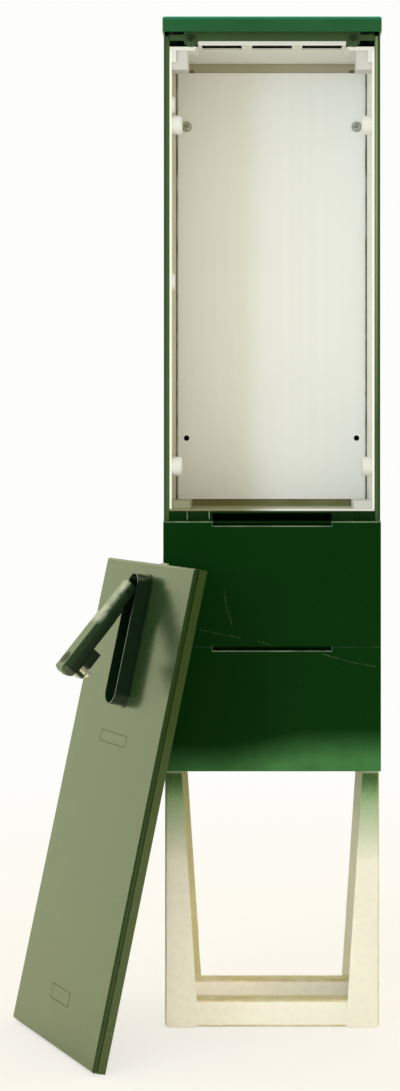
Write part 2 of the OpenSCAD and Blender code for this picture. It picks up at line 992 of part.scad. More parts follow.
module door_panel() {
    tongue_w = notch_w - 5;
    color(deep_green)
        leaning()
            difference() {
                union() {
                    difference() {
                        bevelled_block(door_w, door_t, door_h, door_bevel);
                        translate([-door_wall, door_wall, door_wall])
                            bevelled_block(door_w - 2 * door_wall, door_t, door_h - 2 * door_wall, door_bevel);
                        edge_groove();
                    }
                    translate([-(door_w + tongue_w) / 2, -door_t + door_wall, tongue_z])
                        cube([tongue_w, door_t - door_wall + tongue_d, tongue_h]);
                }
                translate([handle_x, -door_t - eps, axis_z + dish_mid])
                    rotate([-90, 0, 0])
                        linear_extrude(door_wall + 2 * eps)
                            stadium(dish_w - dish_wall + hole_air, dish_l - dish_wall + hole_air);
                for (f = fields)
                    translate([-door_w / 2, -door_t + field_depth, f[2] * door_h])
                        rotate([90, 0, 0])
                            linear_extrude(field_depth + eps)
                                label_field(f[0], f[1]);
            }
}

// Places a thing at the handle: origin at the spindle's axis on the door's rear plane
module at_handle() {
    leaning()
        translate([handle_x, 0, axis_z])
            children();
}

dish_mid = axis_drop - dish_top - dish_l / 2;
// Air round the housing in the door's cut-out
hole_air = 0.6;
clamp_up = 20;
clamp_down = 40;
clamp_zs = [dish_mid + clamp_up, dish_mid - clamp_down];
clamp_w = 14;
clamp_t = 2;
clamp_half = dish_w / 2 + 5;
clamp_screw_r = 2.5;
lock_in = 17;
block_up = 27.5;
block_down = 8.5;
// Windows in the sides of the lock block, seen from the lock's axis
window_up = 6;
window_down = 4;
window_top = 2;
ledge_air = 1.6;
lock_l = lever_l - lock_in;
block_l0 = lock_l - block_up;
block_l1 = lock_l + block_down;
ledge_l = block_l1 + ledge_air;
lever_under = lever_d - lever_t / 2;
ledge_t = 4;
sleeve_r = spindle_r + 3;

// Extrudes an outline of the housing, drawn in X and Z, from y0 to y1
module dish_slab(y0, y1, w, length) {
    along_y(y0, y1)
        translate([0, dish_mid])
            stadium(w, length);
}

module handle_housing() {
    recess_w = dish_w - 2 * dish_wall;
    recess_l = dish_l - 2 * dish_wall;
    color(deep_green)
        at_handle()
            difference() {
                union() {
                    difference() {
                        union() {
                            dish_slab(rim_y, -door_t, dish_w, dish_l);
                            dish_slab(-door_t - foot_t, -door_t, dish_w + 2 * foot_edge, dish_l + 2 * foot_edge);
                            dish_slab(-door_t, recess_y + floor_t, dish_w - dish_wall, dish_l - dish_wall);
                        }
                        dish_slab(rim_y - eps, recess_y, recess_w, recess_l);
                    }
                    // Ledge that the locking tongue turns under
                    intersection() {
                        dish_slab(rim_y, recess_y, recess_w, recess_l);
                        translate([-dish_w / 2, pin_y + lever_under + block_d - ledge_t, -dish_l])
                            cube([dish_w, ledge_t, dish_l - ledge_l]);
                    }
                    translate([0, sleeve_end, 0])
                        rotate([90, 0, 0])
                            cylinder(r = sleeve_r, h = sleeve_end - recess_y - floor_t / 2);
                }
                rotate([90, 0, 0])
                    cylinder(r = spindle_r + run_gap, h = 2 * door_t, center = true);
                for (z = clamp_zs)
                    translate([0, recess_y, z])
                        rotate([90, 0, 0])
                            cylinder(r = clamp_screw_r + fit_gap, h = 4 * floor_t, center = true);
            }
}

// Bridge that draws the housing against the door from behind
module housing_clamps() {
    y0 = recess_y + floor_t;
    color(zinc)
        at_handle()
            for (z = clamp_zs)
                translate([0, 0, z])
                    difference() {
                        union() {
                            translate([-clamp_half, y0, -clamp_w / 2])
                                cube([2 * clamp_half, clamp_t, clamp_w]);
                            for (s = [0, 1])
                                mirror([s, 0, 0])
                                    translate([clamp_half - clamp_t, -door_t + door_wall, -clamp_w / 2])
                                        cube([clamp_t, y0 + clamp_t + door_t - door_wall, clamp_w]);
                        }
                        translate([0, y0, 0])
                            rotate([90, 0, 0])
                                cylinder(r = clamp_screw_r + fit_gap, h = 4 * clamp_t, center = true);
                    }
}

module housing_screws() {
    color(zinc)
        at_handle()
            for (z = clamp_zs)
                translate([0, recess_y + floor_t + clamp_t, z])
                    rotate([0, 0, 180])
                        pan_screw(floor_t + clamp_t, height = 3, shank = clamp_screw_r);
}

yoke_r = dish_w / 2 - dish_wall - 2;
yoke_rise = 5;
yoke_top = -door_t - yoke_rise;
tongue_half = 4;
tongue_eye = 5;
square_a = 8;

module handle_spindle() {
    color(zinc)
        at_handle()
            difference() {
                union() {
                    rotate([90, 0, 0]) {
                        translate([0, 0, -recess_y + 0.3])
                            cylinder(r = yoke_r, h = recess_y - 0.3 - yoke_top);
                        translate([0, 0, -cam_y + 0.2])
                            cylinder(r = spindle_r, h = cam_y - recess_y + 0.2);
                    }
                    translate([-square_a / 2, -eps, -square_a / 2])
                        cube([square_a, cam_y + cam_t + eps, square_a]);
                    translate([-tongue_half, pin_y, -tongue_eye])
                        cube([2 * tongue_half, yoke_top - pin_y + eps, 2 * tongue_eye]);
                    translate([-tongue_half, pin_y, 0])
                        rotate([0, 90, 0])
                            cylinder(r = tongue_eye, h = 2 * tongue_half);
                }
                translate([0, pin_y, 0])
                    rotate([0, 90, 0])
                        cylinder(r = pin_r, h = 4 * tongue_half, center = true);
                translate([0, cam_y + cam_t - 10, 0])
                    rotate([-90, 0, 0])
                        cylinder(r = clamp_screw_r + fit_gap, h = 10 + eps);
            }
}

module latch_cam() {
    reach = cam_tip - axis_z;
    color(zinc)
        at_handle()
            difference() {
                along_y(cam_y, cam_y + cam_t) {
                    circle(square_a);
                    translate([-cam_w / 2, 0])
                        square([cam_w, reach - 1]);
                    translate([-cam_w / 2 + 1, 0])
                        square([cam_w - 2, reach]);
                    for (s = [-1, 1])
                        translate([s * (cam_w / 2 - 1), reach - 1])
                            circle(1);
                }
                cube([square_a + 0.1, bore_l, square_a + 0.1], center = true);
            }
}

module cam_screw() {
    color(zinc)
        at_handle()
            translate([0, cam_y + cam_t, 0])
                rotate([0, 0, 180])
                    pan_screw(9, head = 7, height = 3.5, shank = clamp_screw_r);
}

module lever_pin() {
    color(zinc)
        at_handle()
            translate([0, pin_y, 0])
                rotate([0, 90, 0])
                    cylinder(r = pin_r, h = root_w - 2, center = true);
}

// Places a thing on the lever: origin at the pin, lever towards -Z and its outside towards -Y
module on_lever() {
    at_handle()
        translate([0, pin_y, 0])
            rotate([-lever_out, 0, 0])
                children();
}

edge_r = 3;
root_edge = 2.5;
root_end = 20;
step_l = 36;
step_h = 0.6;
tip_r = 11;
nose_r = 8;
slot_air = 0.3;
lever_slot = tongue_half + slot_air;
tail_r = dish_w / 2 - dish_wall - 0.5;

// Cross section of the lever's root, its two outer edges rounded
module root_outline() {
    half = root_w / 2;
    translate([-half, -lever_t / 2])
        square([root_w, lever_t - root_edge]);
    translate([-half + root_edge, -lever_t / 2])
        square([root_w - 2 * root_edge, lever_t]);
    for (s = [-1, 1])
        translate([s * (half - root_edge), lever_t / 2 - root_edge])
            circle(root_edge);
}

// Root of the lever: a straight bar whose tail is ball-shaped round the pin
module lever_root() {
    intersection() {
        translate([0, 0, -step_l - edge_r])
            linear_extrude(step_l + edge_r + tail_r)
                mirror([0, 1])
                    root_outline();
        union() {
            sphere(tail_r);
            translate([-root_w, -lever_t, -step_l - 2 * edge_r])
                cube([2 * root_w, 2 * lever_t, step_l + 2 * edge_r]);
        }
    }
}

// Deeper part of the root that lies in the recess when the lever is shut
module lever_keel() {
    translate([-root_w / 2, 0, -step_l - edge_r])
        cube([root_w, lever_under - step_h, step_l + edge_r - root_end]);
}

// Grip of the lever: rounded along its edges and towards its tip
module lever_grip() {
    depth = lever_d + step_h;
    length = lever_l - step_l;
    middle = lever_under - depth / 2;
    translate([0, middle, -lever_l])
        intersection() {
            linear_extrude(length)
                round_rect(lever_w, depth, edge_r);
            translate([0, 0, length])
                rotate([90, 0, 0])
                    linear_extrude(2 * depth, center = true)
                        round_rect(lever_w + eps, 2 * length, tip_r);
            translate([0, 0, length])
                rotate([90, 0, 90])
                    linear_extrude(2 * lever_w, center = true)
                        round_rect(depth + eps, 2 * length, nose_r);
        }
}

module handle_lever() {
    color(deep_green)
        on_lever()
            difference() {
                union() {
                    lever_root();
                    lever_keel();
                    lever_grip();
                    translate([0, lever_under + block_d, -(block_l0 + block_l1) / 2])
                        rotate([90, 0, 0])
                            linear_extrude(block_d + lever_d / 2)
                                round_rect(block_w, block_l1 - block_l0, 2);
                }
                translate([-lever_slot, -tongue_eye - slot_air, -tongue_eye - slot_air])
                    cube([2 * lever_slot, 2 * lever_t, 2 * tail_r]);
                rotate([0, 90, 0])
                    cylinder(r = pin_r + run_gap, h = lever_w + eps, center = true);
                translate([-block_w, lever_under + window_top, -lock_l - window_down])
                    cube([2 * block_w, block_d, window_up + window_down]);
                translate([0, lever_under + block_d + eps, -lock_l])
                    rotate([90, 0, 0])
                        cylinder(r = lock_r + fit_gap, h = lever_d + step_h + block_d + 2 * eps);
            }
}

lock_proud = 0.2;

module lock_cylinder() {
    y1 = lever_under + block_d;
    color(zinc)
        on_lever()
            translate([0, 0, -lock_l])
                rotate([90, 0, 0])
                    difference() {
                        translate([0, 0, -y1])
                            cylinder(r = lock_r, h = y1 + lever_t / 2 + step_h + lock_proud);
                        translate([0, 0, -y1 - eps])
                            cylinder(r = plug_r + run_gap, h = y1 + lever_t / 2 + step_h + lock_proud + 2 * eps);
                    }
}

tongue_air = 0.3;
tongue_t = 2.8;
key_slot = [1.4, 7, 6];

module lock_plug() {
    y1 = lever_under + block_d + tongue_air;
    color(zinc)
        on_lever()
            translate([0, 0, -lock_l]) {
                difference() {
                    rotate([90, 0, 0])
                        translate([0, 0, -y1])
                            cylinder(r = plug_r, h = y1 + lever_t / 2 + step_h + 2 * lock_proud);
                    translate([-key_slot[0] / 2, -lever_t / 2 - step_h - eps, -key_slot[1] / 2])
                        cube([key_slot[0], key_slot[2], key_slot[1]]);
                }
                along_y(y1, y1 + tongue_t) {
                    circle(plug_r);
                    translate([0, -plug_r + 1])
                        square([tongue_r - plug_r + 1, 2 * plug_r - 2]);
                    translate([tongue_r - plug_r + 1, 0])
                        circle(plug_r - 1);
                }
            }
}

left_side_wall();
right_side_wall();
rear_wall();
rear_rivets();
roof();
top_rail();
roof_brackets();
roof_screws();
sill();
upper_plinth_panel();
lower_plinth_panel();
left_leg();
right_leg();
front_cross_bar();
rear_cross_bar();
leg_studs();
leg_nuts();
inner_left_rail();
inner_right_rail();
inner_top_rail();
inner_bottom_rail();
top_corner_blocks();
bottom_corner_blocks();
mounting_plate();
plate_screws();
plate_washers();
retainer_knobs();
edge_clips();
door_panel();
handle_housing();
housing_clamps();
housing_screws();
handle_spindle();
latch_cam();
cam_screw();
lever_pin();
handle_lever();
lock_cylinder();
lock_plug();
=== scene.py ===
"""Looks of a roadside utility cabinet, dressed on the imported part."""
import json
import math

import bmesh
import bpy
from bpy.props import FloatProperty, FloatVectorProperty, PointerProperty
from mathutils import Matrix, Vector


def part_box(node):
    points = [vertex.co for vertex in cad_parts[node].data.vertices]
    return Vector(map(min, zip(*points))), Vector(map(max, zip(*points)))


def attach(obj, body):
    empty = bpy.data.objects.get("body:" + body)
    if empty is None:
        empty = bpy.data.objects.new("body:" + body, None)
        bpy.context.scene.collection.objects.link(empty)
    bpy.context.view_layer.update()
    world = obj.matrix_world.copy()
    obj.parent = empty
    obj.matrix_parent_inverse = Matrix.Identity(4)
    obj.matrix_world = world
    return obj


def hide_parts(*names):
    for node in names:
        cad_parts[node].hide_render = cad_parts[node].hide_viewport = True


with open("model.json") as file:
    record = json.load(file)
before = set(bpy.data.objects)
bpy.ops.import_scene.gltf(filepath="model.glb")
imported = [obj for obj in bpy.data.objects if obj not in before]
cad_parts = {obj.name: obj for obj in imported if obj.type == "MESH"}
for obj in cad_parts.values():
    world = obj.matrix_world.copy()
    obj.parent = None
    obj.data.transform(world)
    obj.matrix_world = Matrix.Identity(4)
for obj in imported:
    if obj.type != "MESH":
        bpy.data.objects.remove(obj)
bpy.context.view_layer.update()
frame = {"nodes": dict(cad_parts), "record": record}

bl_info = {
    "name": "Roadside Utility Cabinet",
    "version": (1, 0, 0),
    "blender": (4, 5, 0),
    "location": "View3D > Sidebar > Cabinet",
    "description": "Finishes, small fittings and studio for a roadside utility cabinet",
    "category": "Object",
}

RECORD = frame["record"]
JOINTS = {joint["name"]: joint for joint in RECORD["behaviour"]["joints"]}
FRONT_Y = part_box("upper_plinth_panel")[0][1]
PANEL_TOPS = (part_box("upper_plinth_panel")[1][2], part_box("lower_plinth_panel")[1][2])
PLINTH_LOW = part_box("lower_plinth_panel")[0][2]
WALL_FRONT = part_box("left_side_wall")[0][1]
WALL_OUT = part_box("right_side_wall")[1][0]
ROOF_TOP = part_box("roof")[1][2]
SILL_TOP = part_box("sill")[1][2]
PLATE_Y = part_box("mounting_plate")[0][1]
PLATE_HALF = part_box("mounting_plate")[1][0]
BAR_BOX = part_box("front_cross_bar")
LEG_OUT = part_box("right_leg")[1][0]
LEG_FRONT, LEG_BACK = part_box("right_leg")[0][1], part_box("right_leg")[1][1]
IMAGE_W, IMAGE_H = 400, 1091
UP = Vector((0.0, 0.0, 1.0))

SIDE_NODES = ("left_side_wall", "right_side_wall")
PANEL_NODES = ("upper_plinth_panel", "lower_plinth_panel")
TOP_NODES = ("top_rail", "roof_brackets")
RAIL_NODES = ("inner_left_rail", "inner_right_rail")
CLIP_NODES = ("retainer_knobs", "edge_clips")
LEG_NODES = ("left_leg", "right_leg")
ZINC_NODES = ("rear_rivets", "leg_studs", "leg_nuts", "plate_washers", "housing_clamps",
              "latch_cam")
HANDLE_NODES = ("handle_housing", "handle_spindle", "lever_pin")
LOCK_NODES = ("lock_cylinder", "lock_plug")

# Places and widths of wear, dirt, painted sheen and painted reflection, in metres
SOFT = 0.0004
SILL_TICKS = (-0.1020, -0.0756)
TICK_WIDTH = 0.0009
NOTCH_HALF = 0.071
NOTCH_DEPTH = 0.005
RUBBED_WIDTH = 0.0011
HAIR_WIDTH = 0.0006
FOOT_SHEEN_HIGH, FOOT_SHEEN_LOW = 0.040, 0.002
EDGE_REFLECTION_BACK = 0.0062
LABEL_REACH = 0.042
DUST_FALL, DENSE_FALL, DUST_TOP = 0.110, 0.040, 0.012
# Heights between which the right flange turns lighter, partly fading and partly painted light, and
# the plate gets painted light on its lower part
FADED_HEIGHT = (0.72, 0.98)
PLATE_LIFT_HEIGHT = (0.76, 0.62)
# The upper edge of the painted sheen at the foot rises to the right: from X to X, and by how much
FOOT_SHEEN_LIFT = (-0.05, 0.04, -0.006, 0.012)
# Wear of the upper edge of each plinth panel
EDGE_WEAR = (1.0, 0.12)
# Ends of the hair scratches on the plinth panels, in X and Z
SCRATCHES = (
    ((-0.0573, 0.5289), (-0.0550, 0.5086)),
    ((-0.0550, 0.5086), (-0.0478, 0.4848)),
    ((-0.0860, 0.4788), (-0.0383, 0.4693)),
    ((-0.0168, 0.4657), (-0.0001, 0.4597)),
    ((0.0595, 0.4502), (0.0929, 0.4406)),
    ((0.0929, 0.4406), (0.1239, 0.4347)),
    ((0.0328, 0.4170), (0.0338, 0.4166)),
)

# Roughness, gloss and coat of wall paint, and of the handle with its fading and coat roughness
WALL_GLOSS = (0.4, 0.2, 0.1)
HANDLE_GLOSS = (0.3, 0.5, 0.85, 0.2, 0.14)
# Stretch of patterns along X, Y and Z
HAIR_STRETCH = (1.0, 1.0, 0.02)
STREAK_STRETCH = (1.0, 1.0, 0.1)
ROLLED_STRETCH = (1.0, 1.0, 0.01)
UPRIGHT_ONLY = (0.0, 0.0, 1.0)
TURNED_STRETCH = (1.0, 0.2, 1.0)
SPANGLE_SCALE = 110.0

# Tones of wear, dirt and fading, and of painted sheen, highlights, reflections, light and shade, in
# linear values
FOOT_SHEEN_GREEN = (0.058, 0.190, 0.058)
RUBBED_EDGE = (0.15, 0.22, 0.14)
HAIR_GREEN = (0.055, 0.095, 0.050)
TICK_GREEN = (0.20, 0.28, 0.19)
FLANGE_BLUE_GREEN = (0.016, 0.070, 0.028)
FLANGE_STREAK = (0.34, 0.40, 0.23)
LEFT_OLIVE = (0.085, 0.135, 0.040)
RIGHT_OLIVE_LOW = (0.055, 0.090, 0.018)
RIGHT_OLIVE_HIGH_PAINTED_LIGHT = (0.130, 0.175, 0.066)
ROOF_EDGE_HIGHLIGHT = (0.020, 0.250, 0.150)
DOOR_EDGE = (0.029, 0.054, 0.006)
DOOR_EDGE_DARK_REFLECTION = (0.013, 0.038, 0.002)
LEVER_SHOULDER_SHEEN = (0.020, 0.058, 0.018)
LEVER_FACE_SHEEN = (0.018, 0.052, 0.016)
LEVER_RUBBED_AND_HIGHLIGHT = (0.37, 0.41, 0.32)
RAIL_SHADE = (0.53, 0.51, 0.34)
RAIL_GAP_SHADE = (0.17, 0.155, 0.065)
CEILING_SHADE = (0.44, 0.42, 0.30)
FLOOR_SHADOW = (0.24, 0.235, 0.12)
FLOOR_LIT = (0.76, 0.76, 0.71)
FLOOR_BACK_SHADE = (0.19, 0.185, 0.06)
LEFT_BLOCK_SHADOW = (0.27, 0.265, 0.16)
PLATE_GAP_SHADE = (0.10, 0.10, 0.03)
LEG_FOLD_SHADE = (0.46, 0.42, 0.17)
LEFT_FLANGE_SHADE = (0.69, 0.65, 0.36)
RIGHT_FLANGE_LIGHT = (1.0, 0.98, 0.85)
BAR_STAIN = (0.54, 0.42, 0.14)

# Cross recessed screws: shares of the head's radius and height
CROSS_ARM, CROSS_HALF, CROSS_DEPTH = 0.52, 0.15, 0.55
CROWN_RADIUS = 0.66
HEAD_SIDES = 24
SMOOTH_ANGLE = math.radians(38.0)

# Studio: paper floor, surroundings and lights
PAPER_RADIUS, PAPER_SIDES = 2.4, 96
PAPER_PLACE = (0.0, 0.3, -0.0005)
PAPER_FADE = (0.5, 1.9)
PAPER_TONES = (0.91, 0.885, 0.83), (0.93, 0.905, 0.85)
PAPER_MIRRORED = (0.86, 0.88, 0.60)
PAPER_GLOW = (0.985, 0.955, 0.905)
PAPER_GLOW_SHARE = 0.68
STUDIO_WHITE = (0.985, 0.985, 0.97)
FILL_TINT = (1.0, 0.97, 0.83)
MIRRORED_TINT = (0.95, 1.0, 0.62)
# Direction Y and strength of the mirrored surroundings, from the front to the back
MIRRORED_RANGE = (-0.35, 0.15, 0.06, 1.0)
KEY_PLACE, KEY_TARGET = (-2.05, FRONT_Y - 2.65, 1.15), (0.0, FRONT_Y, 0.8)
KEY_SIZE, KEY_TINT = (0.6, 1.3), (0.55, 0.74, 1.0)
STAND_PLACE, STAND_TARGET = (0.10, FRONT_Y - 2.2, 0.85), (-0.05, 0.0, 0.04)
STAND_SIZE, STAND_TINT, STAND_SPREAD = (0.25, 0.25), (1.0, 0.97, 0.90), 8.0
SENSOR_HEIGHT = 36.0


def colour(name, text, default):
    """A colour property with its default in linear values."""
    return FloatVectorProperty(name=name, description=text, subtype="COLOR", size=3,
                               min=0.0, max=1.0, default=default)


class CABINET_PG_finishes(bpy.types.PropertyGroup):
    """Colours of the cabinet's finishes."""
    shell: colour("Shell paint", "Dark green of walls and plinth", (0.0007, 0.0285, 0.0014))
    rail: colour("Rail paint", "Faded green of the top rail", (0.050, 0.105, 0.036))
    roof: colour("Roof paint", "Fresher green of the roof cap", (0.012, 0.100, 0.030))
    door: colour("Door paint", "Green of the door leaf", (0.020, 0.046, 0.014))
    handle: colour("Handle", "Dark green of the swing handle", (0.003, 0.016, 0.005))
    moulding: colour("Frame moulding", "Light grey of the inner frame", (0.93, 0.93, 0.89))
    plate: colour("Mounting plate", "Light grey of the mounting plate", (0.87, 0.875, 0.86))
    clips: colour("Clips", "White of the knobs and clips", (0.74, 0.74, 0.72))
    galvanised: colour("Galvanised steel", "Warm pale grey of the stand", (0.86, 0.83, 0.72))
    overspray: colour("Overspray", "Green dust of paint at the top of the legs", (0.13, 0.32, 0.08))
    zinc: colour("Zinc", "Pale zinc of screws and fittings", (0.60, 0.60, 0.56))
    lock: colour("Lock", "Bright nickel of the lock parts", (0.86, 0.81, 0.66))


class CABINET_PG_studio(bpy.types.PropertyGroup):
    """Camera and light of the picture."""
    distance: FloatProperty(name="Camera distance", description="From the lens to the front plane",
                            default=2.556, unit="LENGTH")
    height: FloatProperty(name="Camera height", description="Above the floor",
                          default=0.708, unit="LENGTH")
    aside: FloatProperty(name="Camera aside", description="Sideways place of the camera",
                         default=-0.0112, unit="LENGTH")
    focal: FloatProperty(name="Focal length", description="In pixels of the picture",
                         default=2143.5)
    centre_x: FloatProperty(name="Optical centre X", description="In pixels from the left",
                            default=262.7)
    centre_y: FloatProperty(name="Optical centre Y", description="In pixels from the top",
                            default=437.7)
    key: FloatProperty(name="Key light", description="Power of the soft light at the left",
                       default=23.0, unit="POWER")
    stand: FloatProperty(name="Stand light", description="Power of the small light on the foot",
                         default=0.08, unit="POWER")
    fill: FloatProperty(name="Fill", description="Strength of the light all round", default=1.12)


def finishes():
    """The colours in use."""
    return bpy.context.scene.cabinet_finishes


def shade(tone, share):
    """A colour made darker or lighter."""
    return tuple(min(1.0, part * share) for part in tone)


RANGE_SOCKETS = ("From Min", "From Max", "To Min", "To Max")


class Nodes:
    """Short hand for the node tree of one finish."""

    def __init__(self, name):
        self.material = bpy.data.materials.new(name)
        self.material.use_nodes = True
        self.tree = self.material.node_tree
        self.shader = self.tree.nodes["Principled BSDF"]
        self.place = self.tree.nodes.new("ShaderNodeTexCoord").outputs["Object"]
        self.tone = None
        self.split = None

    def add(self, kind, **settings):
        """A new node with its own settings."""
        node = self.tree.nodes.new(kind)
        for key, value in settings.items():
            setattr(node, key, value)
        return node

    def feed(self, socket, value):
        """Links an output to a socket, or sets a plain value on it."""
        if isinstance(value, bpy.types.NodeSocket):
            self.tree.links.new(value, socket)
        elif hasattr(value, "__len__") and len(value) == 3 and len(socket.default_value) == 4:
            socket.default_value = (*value, 1.0)
        else:
            socket.default_value = value

    def noise(self, scale, detail=3.0, rough=0.55, stretch=None):
        """Noise value on Object coordinates, stretched where asked."""
        node = self.add("ShaderNodeTexNoise")
        node.inputs["Scale"].default_value = scale
        node.inputs["Detail"].default_value = detail
        node.inputs["Roughness"].default_value = rough
        place = self.place
        if stretch:
            mapping = self.add("ShaderNodeMapping")
            mapping.inputs["Scale"].default_value = stretch
            self.feed(mapping.inputs["Vector"], self.place)
            place = mapping.outputs["Vector"]
        self.feed(node.inputs["Vector"], place)
        return node.outputs["Fac"]

    def span(self, value, low, high, out_low=0.0, out_high=1.0):
        """Maps a value's range to another, clamped."""
        node = self.add("ShaderNodeMapRange")
        for key, number in zip(RANGE_SOCKETS, (low, high, out_low, out_high)):
            self.feed(node.inputs[key], number)
        self.feed(node.inputs["Value"], value)
        return node.outputs["Result"]

    def patches(self, scale, detail, low, high, least=0.0, most=1.0, **options):
        """Noise between two of its values as a share."""
        return self.span(self.noise(scale, detail, **options), low, high, least, most)

    def math(self, operation, first, second=0.0, clamp=False):
        """One sum of two values."""
        node = self.add("ShaderNodeMath", operation=operation, use_clamp=clamp)
        self.feed(node.inputs[0], first)
        self.feed(node.inputs[1], second)
        return node.outputs[0]

    def both(self, first, *others):
        """Shares multiplied with each other."""
        for share in others:
            first = self.math("MULTIPLY", first, share)
        return first

    def either(self, first, *others):
        """The largest of some shares."""
        for share in others:
            first = self.math("MAXIMUM", first, share)
        return first

    def vector(self, operation, first, second, result="Vector"):
        """One sum of two vectors."""
        node = self.add("ShaderNodeVectorMath", operation=operation)
        self.feed(node.inputs[0], first)
        self.feed(node.inputs["Scale" if operation == "SCALE" else 1], second)
        return node.outputs[result]

    def blend(self, share, first, second):
        """Two colours mixed by a share."""
        node = self.add("ShaderNodeMix", data_type="RGBA")
        self.feed(node.inputs["Factor"], share)
        self.feed(node.inputs["A"], first)
        self.feed(node.inputs["B"], second)
        return node.outputs["Result"]

    def over(self, share, tone):
        """Lays another colour over the finish."""
        self.tone = self.blend(share, self.tone, tone)
        self.set(Base_Color=self.tone)

    def axis(self, letter):
        """One of the three Object coordinates."""
        if self.split is None:
            self.split = self.add("ShaderNodeSeparateXYZ")
            self.feed(self.split.inputs[0], self.place)
        return self.split.outputs[letter]

    def band(self, value, low, high, soft):
        """Share that is 1 between two values and fades out over a soft edge."""
        return self.both(self.span(value, low - soft, low), self.span(value, high + soft, high))

    def along(self, direction):
        """Distance along a direction, from the origin."""
        return self.vector("DOT_PRODUCT", self.place, tuple(direction), "Value")

    def line(self, start, end, width):
        """Share that is 1 on a straight line in X and Z and 0 past its width."""
        run = Vector((end[0] - start[0], 0.0, end[1] - start[1]))
        flat = self.vector("MULTIPLY", self.place, (1.0, 0.0, 1.0))
        here = self.vector("SUBTRACT", flat, (start[0], 0.0, start[1]))
        way = self.vector("DOT_PRODUCT", here, tuple(run / run.length_squared), "Value")
        foot = self.vector("SCALE", tuple(run), self.span(way, 0.0, 1.0))
        away = self.vector("DISTANCE", here, foot, "Value")
        return self.span(away, 0.4 * width, width, 1.0, 0.0)

    def bump(self, height, strength, distance):
        """Bump on the shader's normal."""
        node = self.add("ShaderNodeBump")
        node.inputs["Strength"].default_value = strength
        node.inputs["Distance"].default_value = distance
        self.feed(node.inputs["Height"], height)
        self.feed(self.shader.inputs["Normal"], node.outputs["Normal"])

    def set(self, **values):
        """Shader sockets by name, with spaces written as underscores."""
        for key, value in values.items():
            self.feed(self.shader.inputs[key.replace("_", " ")], value)


def paint(name, base, rough, gloss, coat, fade=0.25, coat_rough=0.12):
    """Sprayed paint: fine orange peel, faded patches and hair scratches."""
    n = Nodes(name)
    pale = tuple(part * 1.6 + 0.0004 for part in base)
    n.tone = n.blend(n.both(n.patches(7.0, 4.0, 0.35, 0.7), fade), base, pale)
    n.over(n.both(n.patches(420.0, 2.0, 0.45, 0.75), 0.3), shade(base, 0.6))
    n.over(n.both(n.patches(60.0, 2.0, 0.72, 0.78, stretch=HAIR_STRETCH), 0.2), pale)
    n.set(Roughness=n.patches(25.0, 3.0, 0.3, 0.7, rough * 0.85, rough * 1.2),
          Specular_IOR_Level=gloss, Coat_Weight=coat, Coat_Roughness=coat_rough)
    n.bump(n.noise(700.0, 2.0), 0.12, 0.0004)
    return n


def panel_paint(base):
    """Plinth paint: a painted sheen at the foot, pale rubbed upper edges and hair scratches."""
    n = paint("panel_paint", base, 0.45, 0.06, 0.0)
    height = n.axis("Z")
    # Painted sheen: the foot of the plinth panels is made lighter green towards the bottom
    lifted = n.math("SUBTRACT", height, n.span(n.axis("X"), *FOOT_SHEEN_LIFT))
    foot = n.math("POWER", n.span(lifted, PLINTH_LOW + FOOT_SHEEN_HIGH, PLINTH_LOW + FOOT_SHEEN_LOW), 1.4)
    n.over(n.both(foot, n.patches(45.0, 4.0, 0.25, 0.7, 0.7)), FOOT_SHEEN_GREEN)
    rubbed = n.patches(30.0, 3.0, 0.3, 0.6, 0.25, stretch=STREAK_STRETCH)
    aside = n.math("ABSOLUTE", n.axis("X"))
    in_notch = n.span(aside, NOTCH_HALF + 0.0008, NOTCH_HALF + 0.0004)
    beside = n.span(aside, NOTCH_HALF - 0.0004, NOTCH_HALF + 0.0002)
    notch_side = n.band(aside, NOTCH_HALF - 0.0002, NOTCH_HALF + 0.0009, 0.0003)
    for top, worn in zip(PANEL_TOPS, EDGE_WEAR):
        bottom = top - NOTCH_DEPTH
        edge = n.both(n.band(height, top - RUBBED_WIDTH, top + 0.0001, SOFT), beside, worn)
        lip = n.both(n.band(height, bottom - RUBBED_WIDTH, bottom, SOFT), in_notch)
        ends = n.both(n.band(height, bottom, top, SOFT), notch_side)
        n.over(n.both(n.either(edge, lip, ends), rubbed), RUBBED_EDGE)
    hairs = n.either(*(n.line(start, end, HAIR_WIDTH) for start, end in SCRATCHES))
    n.over(n.both(hairs, n.patches(160.0, 2.0, 0.35, 0.6, 0.1, 0.75)), HAIR_GREEN)
    return n


def sill_paint(base):
    """Wall paint of the sill with two short rubbed ticks."""
    n = paint("sill_paint", base, *WALL_GLOSS)
    for place in SILL_TICKS:
        start, end = (place, SILL_TOP - 0.0005), (place + 0.0005, SILL_TOP - 0.0095)
        broken = n.patches(120.0, 2.0, 0.35, 0.6, 0.4, 0.9)
        n.over(n.both(n.line(start, end, TICK_WIDTH), broken), TICK_GREEN)
    return n


